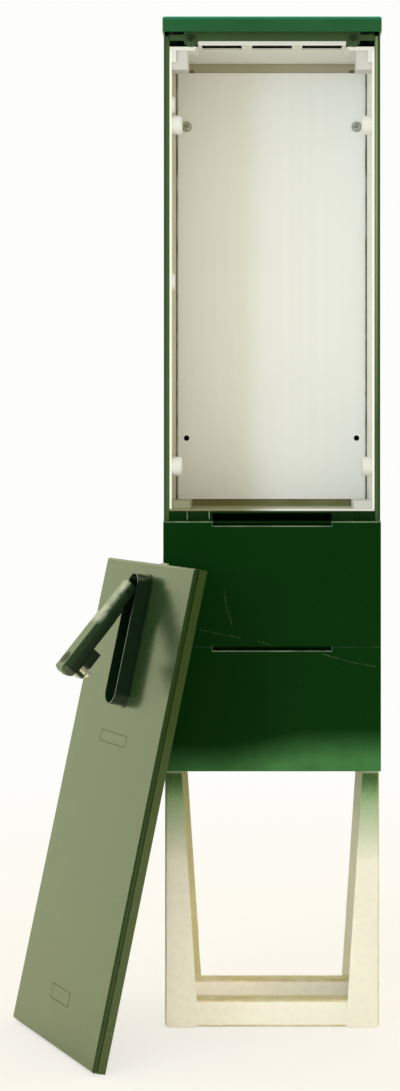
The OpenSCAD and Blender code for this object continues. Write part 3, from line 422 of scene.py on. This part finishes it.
def side_paint(base):
    """Wall paint whose front flange is faded: blue green outside, olive beside the frame; higher up
    the right flange's olive is lighter, partly fading and partly painted light.
    """
    n = paint("wall_paint", base, *WALL_GLOSS)
    aside = n.axis("X")
    front = n.span(n.axis("Y"), WALL_FRONT + 0.0045, WALL_FRONT + 0.0025)
    inward = n.span(n.math("ABSOLUTE", aside), WALL_OUT - 0.001, WALL_OUT - 0.006)
    faded = n.both(front, n.patches(20.0, 3.0, 0.3, 0.7, 0.8, stretch=STREAK_STRETCH))
    upper = n.span(n.axis("Z"), *FADED_HEIGHT)
    # The right flange's olive turns lighter higher up: partly fading, partly painted light
    right = n.blend(upper, RIGHT_OLIVE_LOW, RIGHT_OLIVE_HIGH_PAINTED_LIGHT)
    olive = n.blend(n.span(aside, -0.05, 0.05), LEFT_OLIVE, right)
    n.over(faded, n.blend(inward, FLANGE_BLUE_GREEN, olive))
    streak = n.band(aside, WALL_OUT - 0.0055, WALL_OUT - 0.0038, 0.0005)
    n.over(n.both(faded, streak, n.span(upper, 0.0, 1.0, 0.1, 0.75)), FLANGE_STREAK)
    return n


def roof_paint(base):
    """Roof paint with a painted highlight along its upper edge."""
    n = paint("roof_paint", base, 0.32, 0.3, 0.2, 0.35)
    # Painted highlight: a bright teal band along the roof's upper edge
    n.over(n.span(n.axis("Z"), ROOF_TOP - 0.0040, ROOF_TOP - 0.0012), ROOF_EDGE_HIGHLIGHT)
    return n


def door_paint(base):
    """Glossy door paint, duller on the edge, with a painted dark reflection on the rounding behind
    the front face and painted shade with some dirt in the grooves of the label fields.
    """
    n = paint("door_paint", base, 0.24, 0.5, 1.0, 0.35, 0.17)
    out = Vector(JOINTS["spindle_turn"]["axis"])
    across = Vector((-out.y, out.x, 0.0)).normalized()
    back, face = reach("door_panel", out)
    middle = sum(reach("door_panel", across)) / 2
    top = reach("door_panel", UP)[1]
    depth = n.along(out)
    edge = n.band(depth, back + 0.0008, face - 0.0012, SOFT)
    # Painted reflection: a dark band on the edge's rounding just behind the front face
    edge_reflection = n.band(depth, face - EDGE_REFLECTION_BACK, face - 0.0012, SOFT)
    n.over(edge, DOOR_EDGE)
    n.over(edge_reflection, DOOR_EDGE_DARK_REFLECTION)
    # Painted shade, with some dirt, darkens the grooves round the label fields
    groove_shade = n.both(n.band(depth, face - 0.0006, face - 0.00025, 0.0001),
                    n.band(n.along(across), middle - LABEL_REACH, middle + LABEL_REACH, 0.001),
                    n.band(n.axis("Z"), 0.03, 0.75 * top, 0.001))
    n.over(groove_shade, shade(base, 0.4))
    dull = n.either(n.both(edge, 0.4), edge_reflection, groove_shade)
    n.set(Coat_Weight=n.span(dull, 0.0, 1.0, 1.0, 0.1))
    return n


def lever_plastic(base):
    """Handle plastic of the lever: painted sheen on its outer face and shoulder, and towards the
    pin a pale patch that is rubbed wear with a painted highlight.
    """
    n = paint("lever_plastic", base, *HANDLE_GLOSS)
    out = Vector(JOINTS["lock_turn"]["axis"])
    rise = Vector(JOINTS["lever_swing"]["axis"]).cross(out)
    top = reach("handle_lever", out)[1]
    low, high = reach("handle_lever", rise)
    length = high - low
    depth = n.along(out)
    shoulder_sheen = n.span(depth, top - 0.010, top - 0.006)
    outer = n.span(depth, top - 0.005, top - 0.001)
    upper = n.span(n.along(rise), low + 0.50 * length, low + 0.56 * length)
    # Painted sheen: lighter green on the shoulder and on the outer face
    n.over(n.both(shoulder_sheen, 0.6), LEVER_SHOULDER_SHEEN)
    n.over(n.both(outer, 0.8), LEVER_FACE_SHEEN)
    # Rubbed wear with a painted highlight on the outer face towards the pin
    rubbed = n.patches(70.0, 5.0, 0.35, 0.65, 0.25, rough=0.65)
    n.over(n.both(outer, upper, rubbed), LEVER_RUBBED_AND_HIGHLIGHT)
    return n


def moulded(name, base, rough, mottling=0.06):
    """Moulded plastic with a fine spark texture."""
    n = Nodes(name)
    n.tone = n.blend(n.patches(9.0, 4.0, 0.3, 0.7), base, shade(base, 1.0 - mottling))
    n.set(Base_Color=n.tone, Specular_IOR_Level=0.35,
          Roughness=n.patches(300.0, 3.0, 0.3, 0.7, rough * 0.9, min(1.0, rough * 1.15)))
    n.bump(n.noise(1400.0, 1.0), 0.1, 0.0003)
    return n


def frame_rail(base):
    """Rail moulding with painted shade: darker on its back flange, grey inside the left rail, and a
    dark line in the gap beside the plate.
    """
    n = moulded("frame_moulding", base, 0.55)
    depth = n.axis("Y")
    # Painted shade on the back flange near the plate
    n.over(n.span(depth, PLATE_Y - 0.006, PLATE_Y + 0.001), shade(base, 0.62))
    # Painted shade inside the left rail
    inner = n.both(n.span(n.axis("X"), -0.112, -0.116),
                   n.span(depth, WALL_FRONT + 0.003, WALL_FRONT + 0.008))
    n.over(inner, RAIL_SHADE)
    # Painted shade: a dark line in the gap beside the plate
    n.over(n.span(depth, PLATE_Y - 0.004, PLATE_Y - 0.002), RAIL_GAP_SHADE)
    return n


def frame_ceiling(base):
    """Top of the moulded frame, with painted shade above the mounting plate."""
    n = moulded("frame_ceiling", base, 0.6)
    # Painted shade on the back strip above the mounting plate
    n.over(n.span(n.axis("Y"), PLATE_Y - 0.012, PLATE_Y - 0.004), CEILING_SHADE)
    return n


def frame_floor(base):
    """Floor of the moulded frame: a painted shadow on its left, lit on its right, and painted shade
    towards its back.
    """
    n = moulded("frame_floor", base, 0.6)
    # Painted shadow on the left, painted light on the right
    n.tone = n.blend(n.span(n.axis("X"), -0.035, 0.01), FLOOR_SHADOW, FLOOR_LIT)
    # Painted shade, darker and patchy towards the back
    back_shade = n.math("POWER", n.span(n.axis("Y"), WALL_FRONT + 0.004, PLATE_Y), 0.35)
    n.over(n.both(back_shade, n.patches(40.0, 4.0, 0.3, 0.7, 0.9)), FLOOR_BACK_SHADE)
    return n


def lower_blocks(base):
    """Lower corner blocks, with a painted shadow on the left one."""
    n = moulded("lower_blocks", base, 0.55)
    # Painted shadow on the left block
    n.over(n.span(n.axis("X"), 0.02, -0.02), LEFT_BLOCK_SHADOW)
    return n


def coated_plate(base):
    """Powder coated sheet: upright rolling marks, painted light on its lower part and right side,
    and a painted shade line in the gap along its side edges.
    """
    n = Nodes("plate_coating")
    rolled = n.patches(90.0, 3.0, 0.3, 0.7, stretch=ROLLED_STRETCH)
    n.tone = n.blend(rolled, shade(base, 0.97), base)
    n.over(n.both(n.patches(6.0, 4.0, 0.4, 0.7), 0.08), shade(base, 0.8))
    aside = n.axis("X")
    # Painted light: the lower part and the right side are made paler
    lower = n.both(n.span(n.axis("Z"), *PLATE_LIFT_HEIGHT), n.span(aside, -0.06, 0.02, 0.1, 1.0))
    n.over(n.either(n.span(aside, 0.03, 0.10, 0.0, 0.35), lower), shade(base, 1.12))
    # Painted shade: dark dashes along the side edges, in the gap beside the rails
    gap_shade = n.span(n.math("ABSOLUTE", aside), PLATE_HALF - 0.0022, PLATE_HALF - 0.0012)
    n.over(n.both(gap_shade, n.patches(25.0, 3.0, 0.4, 0.6, 0.6, stretch=UPRIGHT_ONLY)), PLATE_GAP_SHADE)
    n.set(Specular_IOR_Level=0.3, Roughness=n.patches(200.0, 3.0, 0.3, 0.7, 0.5, 0.62))
    n.bump(n.noise(900.0, 2.0), 0.1, 0.0003)
    return n


def galvanised(name, base, overspray):
    """Hot dip zinc with a soft spangle and green spray dust under the plinth."""
    n = Nodes(name)
    spangle = n.add("ShaderNodeTexVoronoi")
    spangle.inputs["Scale"].default_value = SPANGLE_SCALE
    n.feed(spangle.inputs["Vector"], n.place)
    grain = n.span(spangle.outputs["Distance"], 0.0, 0.7)
    n.tone = n.blend(grain, shade(base, 0.95), base)
    n.over(n.both(n.patches(14.0, 4.0, 0.4, 0.75), 0.12), shade(base, 0.78))
    height = n.axis("Z")
    fall = n.span(height, PLINTH_LOW - DUST_FALL, PLINTH_LOW - DUST_TOP)
    speckle = n.patches(480.0, 2.0, 0.25, 0.75, 0.85, 1.1)
    dust = n.math("MULTIPLY", n.math("POWER", fall, 0.9), speckle, clamp=True)
    bare = n.span(height, PLINTH_LOW - 0.006, PLINTH_LOW - 0.003, 1.0, 0.15)
    n.over(n.both(dust, bare), overspray)
    dense = n.span(height, PLINTH_LOW - DENSE_FALL, PLINTH_LOW - DUST_TOP)
    n.over(n.both(n.math("POWER", dense, 1.2), speckle, bare), shade(overspray, 0.42))
    n.set(Metallic=0.10, Specular_IOR_Level=0.4, Roughness=n.span(grain, 0.0, 1.0, 0.45, 0.6))
    n.bump(grain, 0.05, 0.0004)
    return n


def leg_with_painted_shade(base, overspray):
    """Galvanised leg with painted shade on the fold of its front edge, and painted light inside its
    rear flange, lighter on the right leg than on the left.
    """
    n = galvanised("galvanised_steel", base, overspray)
    aside, depth = n.math("ABSOLUTE", n.axis("X")), n.axis("Y")
    # Painted shade on the fold of the front edge
    fold_shade = n.both(n.span(aside, LEG_OUT - 0.0022, LEG_OUT - 0.0008),
                  n.span(depth, LEG_FRONT + 0.004, LEG_FRONT + 0.002))
    n.over(n.both(fold_shade, n.patches(60.0, 3.0, 0.3, 0.7, 0.4, 0.8)), LEG_FOLD_SHADE)
    # Painted light inside the rear flange: lighter on the right leg, darker on the left
    inside = n.both(n.span(aside, LEG_OUT - 0.0022, LEG_OUT - 0.0026),
                    n.band(depth, LEG_BACK - 0.0030, LEG_BACK - 0.0014, 0.0003))
    n.over(inside, n.blend(n.span(n.axis("X"), -0.02, 0.02), LEFT_FLANGE_SHADE, RIGHT_FLANGE_LIGHT))
    return n


def stained_bar(name, base, overspray):
    """Galvanised cross bar with a tan stain along its upper and lower edges."""
    n = galvanised(name, base, overspray)
    height = n.axis("Z")
    low, high = BAR_BOX[0][2], BAR_BOX[1][2]
    edge = n.either(n.span(height, high - 0.0032, high - 0.0022),
                    n.span(height, low + 0.0032, low + 0.0022))
    n.over(n.both(edge, n.patches(70.0, 3.0, 0.3, 0.7, 0.5, 0.9)), BAR_STAIN)
    return n


def zinc(name, base, metal=0.45, rough=0.3):
    """Zinc plated steel with turning marks."""
    n = Nodes(name)
    marks = n.patches(500.0, 3.0, 0.3, 0.7, stretch=TURNED_STRETCH)
    n.tone = n.blend(marks, shade(base, 0.8), base)
    n.set(Base_Color=n.tone, Metallic=metal,
          Roughness=n.span(marks, 0.0, 1.0, rough * 0.75, rough * 1.2))
    n.bump(marks, 0.08, 0.0002)
    return n


def lock_metal(base, cover):
    """Bright lock parts, with the colour of the lever on their outer end."""
    n = zinc("lock_nickel", base, 0.55, 0.2)
    out = Vector(JOINTS["lock_turn"]["axis"])
    end = reach("lock_cylinder", out)[1]
    n.over(n.span(n.along(out), end - 0.0018, end - 0.0012), cover)
    return n


def wear(nodes, finish):
    """Gives CAD nodes a finish in place of their plain one."""
    for name in nodes:
        mesh = frame["nodes"][name].data
        mesh.materials.clear()
        mesh.materials.append(finish.material)


def solids(node):
    """Corner points of each solid of a CAD node, from a merged copy of its mesh."""
    shape = bmesh.new()
    shape.from_mesh(frame["nodes"][node].data)
    bmesh.ops.remove_doubles(shape, verts=shape.verts, dist=1e-6)
    left = set(shape.verts)
    groups = []
    while left:
        todo = [left.pop()]
        group = []
        while todo:
            vert = todo.pop()
            group.append(vert.co.copy())
            near = {edge.other_vert(vert) for edge in vert.link_edges} & left
            left -= near
            todo.extend(near)
        groups.append(group)
    shape.free()
    return sorted(groups, key=lambda group: tuple(round(c, 5) for c in group_middle(group)))


def group_middle(points):
    """Middle of the box round some points."""
    return [(min(p[k] for p in points) + max(p[k] for p in points)) / 2 for k in range(3)]


def reach(node, direction):
    """Least and greatest distance of a CAD node's corners along a direction."""
    along = [point.dot(direction) for solid in solids(node) for point in solid]
    return min(along), max(along)


def ring_out(shape, edges, steps):
    """Extrudes a ring of edges through (old radius, radius, height) steps and gives the last."""
    for old, radius, height in steps:
        grown = bmesh.ops.extrude_edge_only(shape, edges=edges)["geom"]
        verts = [part for part in grown if isinstance(part, bmesh.types.BMVert)]
        edges = [part for part in grown if isinstance(part, bmesh.types.BMEdge)]
        edges = [edge for edge in edges if all(vert in verts for vert in edge.verts)]
        bmesh.ops.scale(shape, vec=(radius / old, radius / old, 1.0), verts=verts)
        bmesh.ops.translate(shape, vec=(0.0, 0.0, height - verts[0].co.z), verts=verts)
    return edges


def pan_screw(shape, place, radius, height, shank_r, shank_l):
    """Pan head screw with a cross recess, built from the cross outwards and down to the shank."""
    arm, half = CROSS_ARM * radius, CROSS_HALF * radius
    corners = ((arm, half), (half, half), (half, arm),
               (-half, arm), (-half, half), (-arm, half),
               (-arm, -half), (-half, -half), (-half, -arm),
               (half, -arm), (half, -half), (arm, -half))
    screw = bmesh.new()
    cross = screw.faces.new([screw.verts.new((x, y, height)) for x, y in corners])
    inner = cross.edges[:]
    crown = CROWN_RADIUS * radius
    ring = bmesh.ops.create_circle(screw, cap_ends=False, segments=HEAD_SIDES, radius=crown,
                                   matrix=Matrix.Translation((0.0, 0.0, height)))["verts"]
    outer = list({edge for vert in ring for edge in vert.link_edges})
    bmesh.ops.bridge_loops(screw, edges=inner + outer)
    bmesh.ops.inset_individual(screw, faces=[cross], thickness=0.25 * half,
                               depth=-CROSS_DEPTH * height, use_even_offset=True)
    outer = ring_out(screw, outer, (
        (crown, 0.87 * radius, 0.78 * height),
        (0.87 * radius, 0.98 * radius, 0.45 * height),
        (0.98 * radius, radius, 0.0), (radius, shank_r, 0.0), (shank_r, shank_r, -shank_l)))
    bmesh.ops.edgeloop_fill(screw, edges=outer)
    bmesh.ops.recalc_face_normals(screw, faces=screw.faces)
    bmesh.ops.transform(screw, matrix=place, verts=screw.verts)
    made = bpy.data.meshes.new("screw")
    screw.to_mesh(made)
    screw.free()
    shape.from_mesh(made)
    bpy.data.meshes.remove(made)


def screws_for(node, axis):
    """Pan head screws in the place and size of a CAD node's plain ones, heads at the wide end."""
    axis = Vector(axis).normalized()
    shape = bmesh.new()
    for points in solids(node):
        middle = Vector(group_middle(points))
        arms = [point - middle for point in points]
        rows = [(arm.dot(axis), (arm - arm.dot(axis) * axis).length) for arm in arms]
        low, high = min(row[0] for row in rows), max(row[0] for row in rows)
        radius = max(row[1] for row in rows)
        wide = [row[0] for row in rows if row[1] > 0.9 * radius]
        up = 1.0 if sum(wide) / len(wide) > (low + high) / 2 else -1.0
        base = min(up * t for t in wide)
        end = max(up * low, up * high)
        start = min(up * low, up * high)
        shank = max(row[1] for row in rows if up * row[0] < start + 0.3 * (base - start))
        turn = (up * axis).to_track_quat("Z", "Y").to_matrix().to_4x4()
        place = Matrix.Translation(middle + up * axis * base) @ turn
        pan_screw(shape, place, radius, end - base, min(shank, 0.8 * radius), base - start)
    return shape


def add_piece(name, shape, finish, body, node):
    """A finished mesh as a piece that rides on a body and stands for a CAD node."""
    for face in shape.faces:
        face.smooth = True
    for edge in shape.edges:
        edge.smooth = edge.calc_face_angle(0.0) < SMOOTH_ANGLE
    mesh = bpy.data.meshes.new(name)
    shape.to_mesh(mesh)
    shape.free()
    mesh.materials.append(finish.material)
    piece = bpy.data.objects.new(name, mesh)
    bpy.context.collection.objects.link(piece)
    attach(piece, body)
    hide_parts(node)


class CabinetOperator:
    """What the cabinet's operators share."""
    bl_options = {"REGISTER", "UNDO"}


class CABINET_OT_shell(CabinetOperator, bpy.types.Operator):
    """Paints walls, rails, roof and plinth panels"""
    bl_idname = "cabinet.shell"
    bl_label = "Paint shell"

    def execute(self, context):
        tones = finishes()
        shell = tuple(tones.shell)
        wear(("rear_wall",), paint("shell_paint", shell, *WALL_GLOSS))
        wear(("sill",), sill_paint(shell))
        wear(SIDE_NODES, side_paint(shell))
        wear(PANEL_NODES, panel_paint(shell))
        wear(("roof",), roof_paint(tuple(tones.roof)))
        wear(TOP_NODES, paint("rail_paint", tuple(tones.rail), 0.4, 0.3, 0.1))
        return {"FINISHED"}


class CABINET_OT_inside(CabinetOperator, bpy.types.Operator):
    """Finishes the inner frame, the mounting plate and its clips"""
    bl_idname = "cabinet.inside"
    bl_label = "Finish inside"

    def execute(self, context):
        tones = finishes()
        cream = tuple(tones.moulding)
        # Painted shade: the corner blocks get a darker copy of the cream
        shaded_cream = shade(cream, 0.64)
        wear(RAIL_NODES, frame_rail(cream))
        # Painted shade: the frame's top gets a darker copy of the cream
        wear(("inner_top_rail",), frame_ceiling(shade(cream, 0.84)))
        wear(("inner_bottom_rail",), frame_floor(cream))
        wear(("top_corner_blocks",), moulded("block_moulding", shaded_cream, 0.55))
        wear(("bottom_corner_blocks",), lower_blocks(shaded_cream))
        wear(("mounting_plate",), coated_plate(tuple(tones.plate)))
        wear(CLIP_NODES, moulded("clip_plastic", tuple(tones.clips), 0.38, 0.03))
        return {"FINISHED"}


class CABINET_OT_stand(CabinetOperator, bpy.types.Operator):
    """Finishes the galvanised stand and the zinc plated fittings"""
    bl_idname = "cabinet.stand"
    bl_label = "Finish stand"

    def execute(self, context):
        tones = finishes()
        steel, dust = tuple(tones.galvanised), tuple(tones.overspray)
        wear(LEG_NODES, leg_with_painted_shade(steel, dust))
        wear(("front_cross_bar",), stained_bar("front_bar_steel", steel, dust))
        # Painted light: the rear cross bar gets a lighter copy of the galvanised tone
        wear(("rear_cross_bar",), stained_bar("rear_bar_steel_painted_lighter", shade(steel, 1.10), dust))
        wear(ZINC_NODES, zinc("zinc_steel", tuple(tones.zinc)))
        return {"FINISHED"}


class CABINET_OT_screws(CabinetOperator, bpy.types.Operator):
    """Cuts the cross recessed screws of plate, roof, handle and latch"""
    bl_idname = "cabinet.screws"
    bl_label = "Cut screws"

    def execute(self, context):
        tones = finishes()
        bright = zinc("screw_zinc", tuple(tones.zinc), 0.5, 0.28)
        green = paint("screw_paint", shade(tuple(tones.rail), 0.6), 0.3, 0.4, 0.2)
        through_door = JOINTS["spindle_turn"]["axis"]
        through_wall = (0, 1, 0)
        for name, node, axis, finish, body in (
                ("plate_pan_screws", "plate_screws", through_wall, bright, "cabinet"),
                ("roof_pan_screws", "roof_screws", through_wall, green, "cabinet"),
                ("housing_pan_screws", "housing_screws", through_door, bright, "cabinet"),
                ("cam_pan_screw", "cam_screw", through_door, bright, "spindle")):
            add_piece(name, screws_for(node, axis), finish, body, node)
        return {"FINISHED"}


class CABINET_OT_door(CabinetOperator, bpy.types.Operator):
    """Finishes the door leaf, its swing handle and the lock"""
    bl_idname = "cabinet.door"
    bl_label = "Finish door"

    def execute(self, context):
        tones = finishes()
        wear(("door_panel",), door_paint(tuple(tones.door)))
        handle = tuple(tones.handle)
        wear(HANDLE_NODES, paint("handle_plastic", handle, *HANDLE_GLOSS))
        wear(("handle_lever",), lever_plastic(handle))
        wear(LOCK_NODES, lock_metal(tuple(tones.lock), handle))
        return {"FINISHED"}


class CABINET_OT_studio(CabinetOperator, bpy.types.Operator):
    """Lays the pale floor and sets lights and camera"""
    bl_idname = "cabinet.studio"
    bl_label = "Set studio"

    def execute(self, context):
        self.floor()
        self.surroundings(context.scene)
        self.lights(context.scene)
        self.camera(context.scene)
        context.scene.view_settings.view_transform = "Standard"
        return {"FINISHED"}

    def floor(self):
        """Pale paper floor: a wide round sheet that keeps shadows and fades into the white."""
        shape = bmesh.new()
        bmesh.ops.create_circle(shape, cap_ends=True, segments=PAPER_SIDES, radius=PAPER_RADIUS)
        bmesh.ops.translate(shape, verts=shape.verts, vec=PAPER_PLACE)
        mesh = bpy.data.meshes.new("paper_floor")
        shape.to_mesh(mesh)
        shape.free()
        n = Nodes("paper")
        n.tone = n.blend(n.patches(3.0, 5.0, 0.3, 0.7), *PAPER_TONES)
        n.set(Roughness=0.9, Specular_IOR_Level=0.1)
        away = n.vector("DISTANCE", n.place, (0.0, 0.0, 0.0), "Value")
        far = n.span(away, *PAPER_FADE)
        rays = n.add("ShaderNodeLightPath")
        n.over(rays.outputs["Is Glossy Ray"], PAPER_MIRRORED)
        shine = n.add("ShaderNodeEmission")
        n.feed(shine.inputs["Color"], n.blend(far, PAPER_GLOW, STUDIO_WHITE))
        glow = n.add("ShaderNodeMixShader")
        share = n.span(far, 0.0, 1.0, PAPER_GLOW_SHARE, 1.0)
        n.feed(glow.inputs[0], n.both(rays.outputs["Is Camera Ray"], share))
        n.tree.links.new(n.shader.outputs[0], glow.inputs[1])
        n.tree.links.new(shine.outputs[0], glow.inputs[2])
        n.tree.links.new(glow.outputs[0], n.tree.nodes["Material Output"].inputs["Surface"])
        mesh.materials.append(n.material)
        sheet = bpy.data.objects.new("paper_floor", mesh)
        bpy.context.collection.objects.link(sheet)

    def surroundings(self, scene):
        """White to the camera, soft warm light all round, and a dim front in reflections."""
        world = bpy.data.worlds.new("studio")
        scene.world = world
        world.use_nodes = True
        tree = world.node_tree
        tree.nodes.clear()
        new = tree.nodes.new
        link = tree.links.new
        rays = new("ShaderNodeLightPath")
        way = new("ShaderNodeTexCoord")
        split = new("ShaderNodeSeparateXYZ")
        link(way.outputs["Generated"], split.inputs[0])
        ahead = new("ShaderNodeMapRange")
        for key, number in zip(RANGE_SOCKETS, MIRRORED_RANGE):
            ahead.inputs[key].default_value = number
        link(split.outputs["Y"], ahead.inputs["Value"])
        soft = new("ShaderNodeBackground")
        soft.inputs["Color"].default_value = (*FILL_TINT, 1.0)
        soft.inputs["Strength"].default_value = scene.cabinet_studio.fill
        mirrored = new("ShaderNodeBackground")
        mirrored.inputs["Color"].default_value = (*MIRRORED_TINT, 1.0)
        link(ahead.outputs["Result"], mirrored.inputs["Strength"])
        white = new("ShaderNodeBackground")
        white.inputs["Color"].default_value = (*STUDIO_WHITE, 1.0)
        bright = new("ShaderNodeMath")
        bright.operation = "MAXIMUM"
        link(rays.outputs["Is Glossy Ray"], bright.inputs[0])
        link(rays.outputs["Is Transmission Ray"], bright.inputs[1])
        first = new("ShaderNodeMixShader")
        link(bright.outputs[0], first.inputs[0])
        link(soft.outputs[0], first.inputs[1])
        link(mirrored.outputs[0], first.inputs[2])
        second = new("ShaderNodeMixShader")
        link(rays.outputs["Is Camera Ray"], second.inputs[0])
        link(first.outputs[0], second.inputs[1])
        link(white.outputs[0], second.inputs[2])
        link(second.outputs[0], new("ShaderNodeOutputWorld").inputs["Surface"])

    def lamp(self, name, place, target, size, power, tint, spread=180.0):
        """One soft light aimed at a point, with its width and height."""
        data = bpy.data.lights.new(name, "AREA")
        data.shape = "RECTANGLE"
        data.size, data.size_y = size
        data.energy = power
        data.color = tint
        data.spread = math.radians(spread)
        lamp = bpy.data.objects.new(name, data)
        bpy.context.collection.objects.link(lamp)
        lamp.location = place
        lamp.rotation_euler = (Vector(target) - Vector(place)).to_track_quat("-Z", "Y").to_euler()
        lamp.visible_camera = False
        lamp.visible_glossy = False

    def lights(self, scene):
        """A cool soft box at the left front and a small warm one on the foot of the stand."""
        light = scene.cabinet_studio
        self.lamp("key_light", KEY_PLACE, KEY_TARGET, KEY_SIZE, light.key, KEY_TINT)
        self.lamp("stand_light", STAND_PLACE, STAND_TARGET, STAND_SIZE, light.stand, STAND_TINT,
                  STAND_SPREAD)

    def camera(self, scene):
        """Level camera with a shifted lens, as the picture was taken."""
        view = scene.cabinet_studio
        data = bpy.data.cameras.new("picture_camera")
        data.sensor_fit = "VERTICAL"
        data.sensor_height = SENSOR_HEIGHT
        data.lens = view.focal * SENSOR_HEIGHT / IMAGE_H
        data.shift_x = (IMAGE_W / 2 - view.centre_x) / IMAGE_H
        data.shift_y = (view.centre_y - IMAGE_H / 2) / IMAGE_H
        data.dof.use_dof = False
        camera = bpy.data.objects.new("picture_camera", data)
        bpy.context.collection.objects.link(camera)
        camera.location = (view.aside, FRONT_Y - view.distance, view.height)
        camera.rotation_euler = (math.radians(90.0), 0.0, 0.0)
        scene.camera = camera


OPERATORS = (CABINET_OT_shell, CABINET_OT_inside, CABINET_OT_stand, CABINET_OT_screws,
             CABINET_OT_door, CABINET_OT_studio)


class CABINET_PT_sidebar(bpy.types.Panel):
    """Lists the cabinet's operators and settings in the sidebar"""
    bl_idname = "CABINET_PT_sidebar"
    bl_label = "Utility cabinet"
    bl_space_type = "VIEW_3D"
    bl_region_type = "UI"
    bl_category = "Cabinet"

    def draw(self, context):
        for operator in OPERATORS:
            self.layout.operator(operator.bl_idname)
        for group in (context.scene.cabinet_finishes, context.scene.cabinet_studio):
            for key in group.__annotations__:
                self.layout.prop(group, key)


CLASSES = (CABINET_PG_finishes, CABINET_PG_studio, *OPERATORS, CABINET_PT_sidebar)


def register():
    """Makes the cabinet's classes and settings known."""
    for cls in CLASSES:
        bpy.utils.register_class(cls)
    bpy.types.Scene.cabinet_finishes = PointerProperty(type=CABINET_PG_finishes)
    bpy.types.Scene.cabinet_studio = PointerProperty(type=CABINET_PG_studio)


def unregister():
    """Takes the classes and settings out again."""
    del bpy.types.Scene.cabinet_studio
    del bpy.types.Scene.cabinet_finishes
    for cls in reversed(CLASSES):
        bpy.utils.unregister_class(cls)


def main():
    """Builds the looks in order."""
    register()
    bpy.ops.cabinet.shell()
    bpy.ops.cabinet.inside()
    bpy.ops.cabinet.stand()
    bpy.ops.cabinet.screws()
    bpy.ops.cabinet.door()
    bpy.ops.cabinet.studio()


if __name__ == "__main__":
    main()
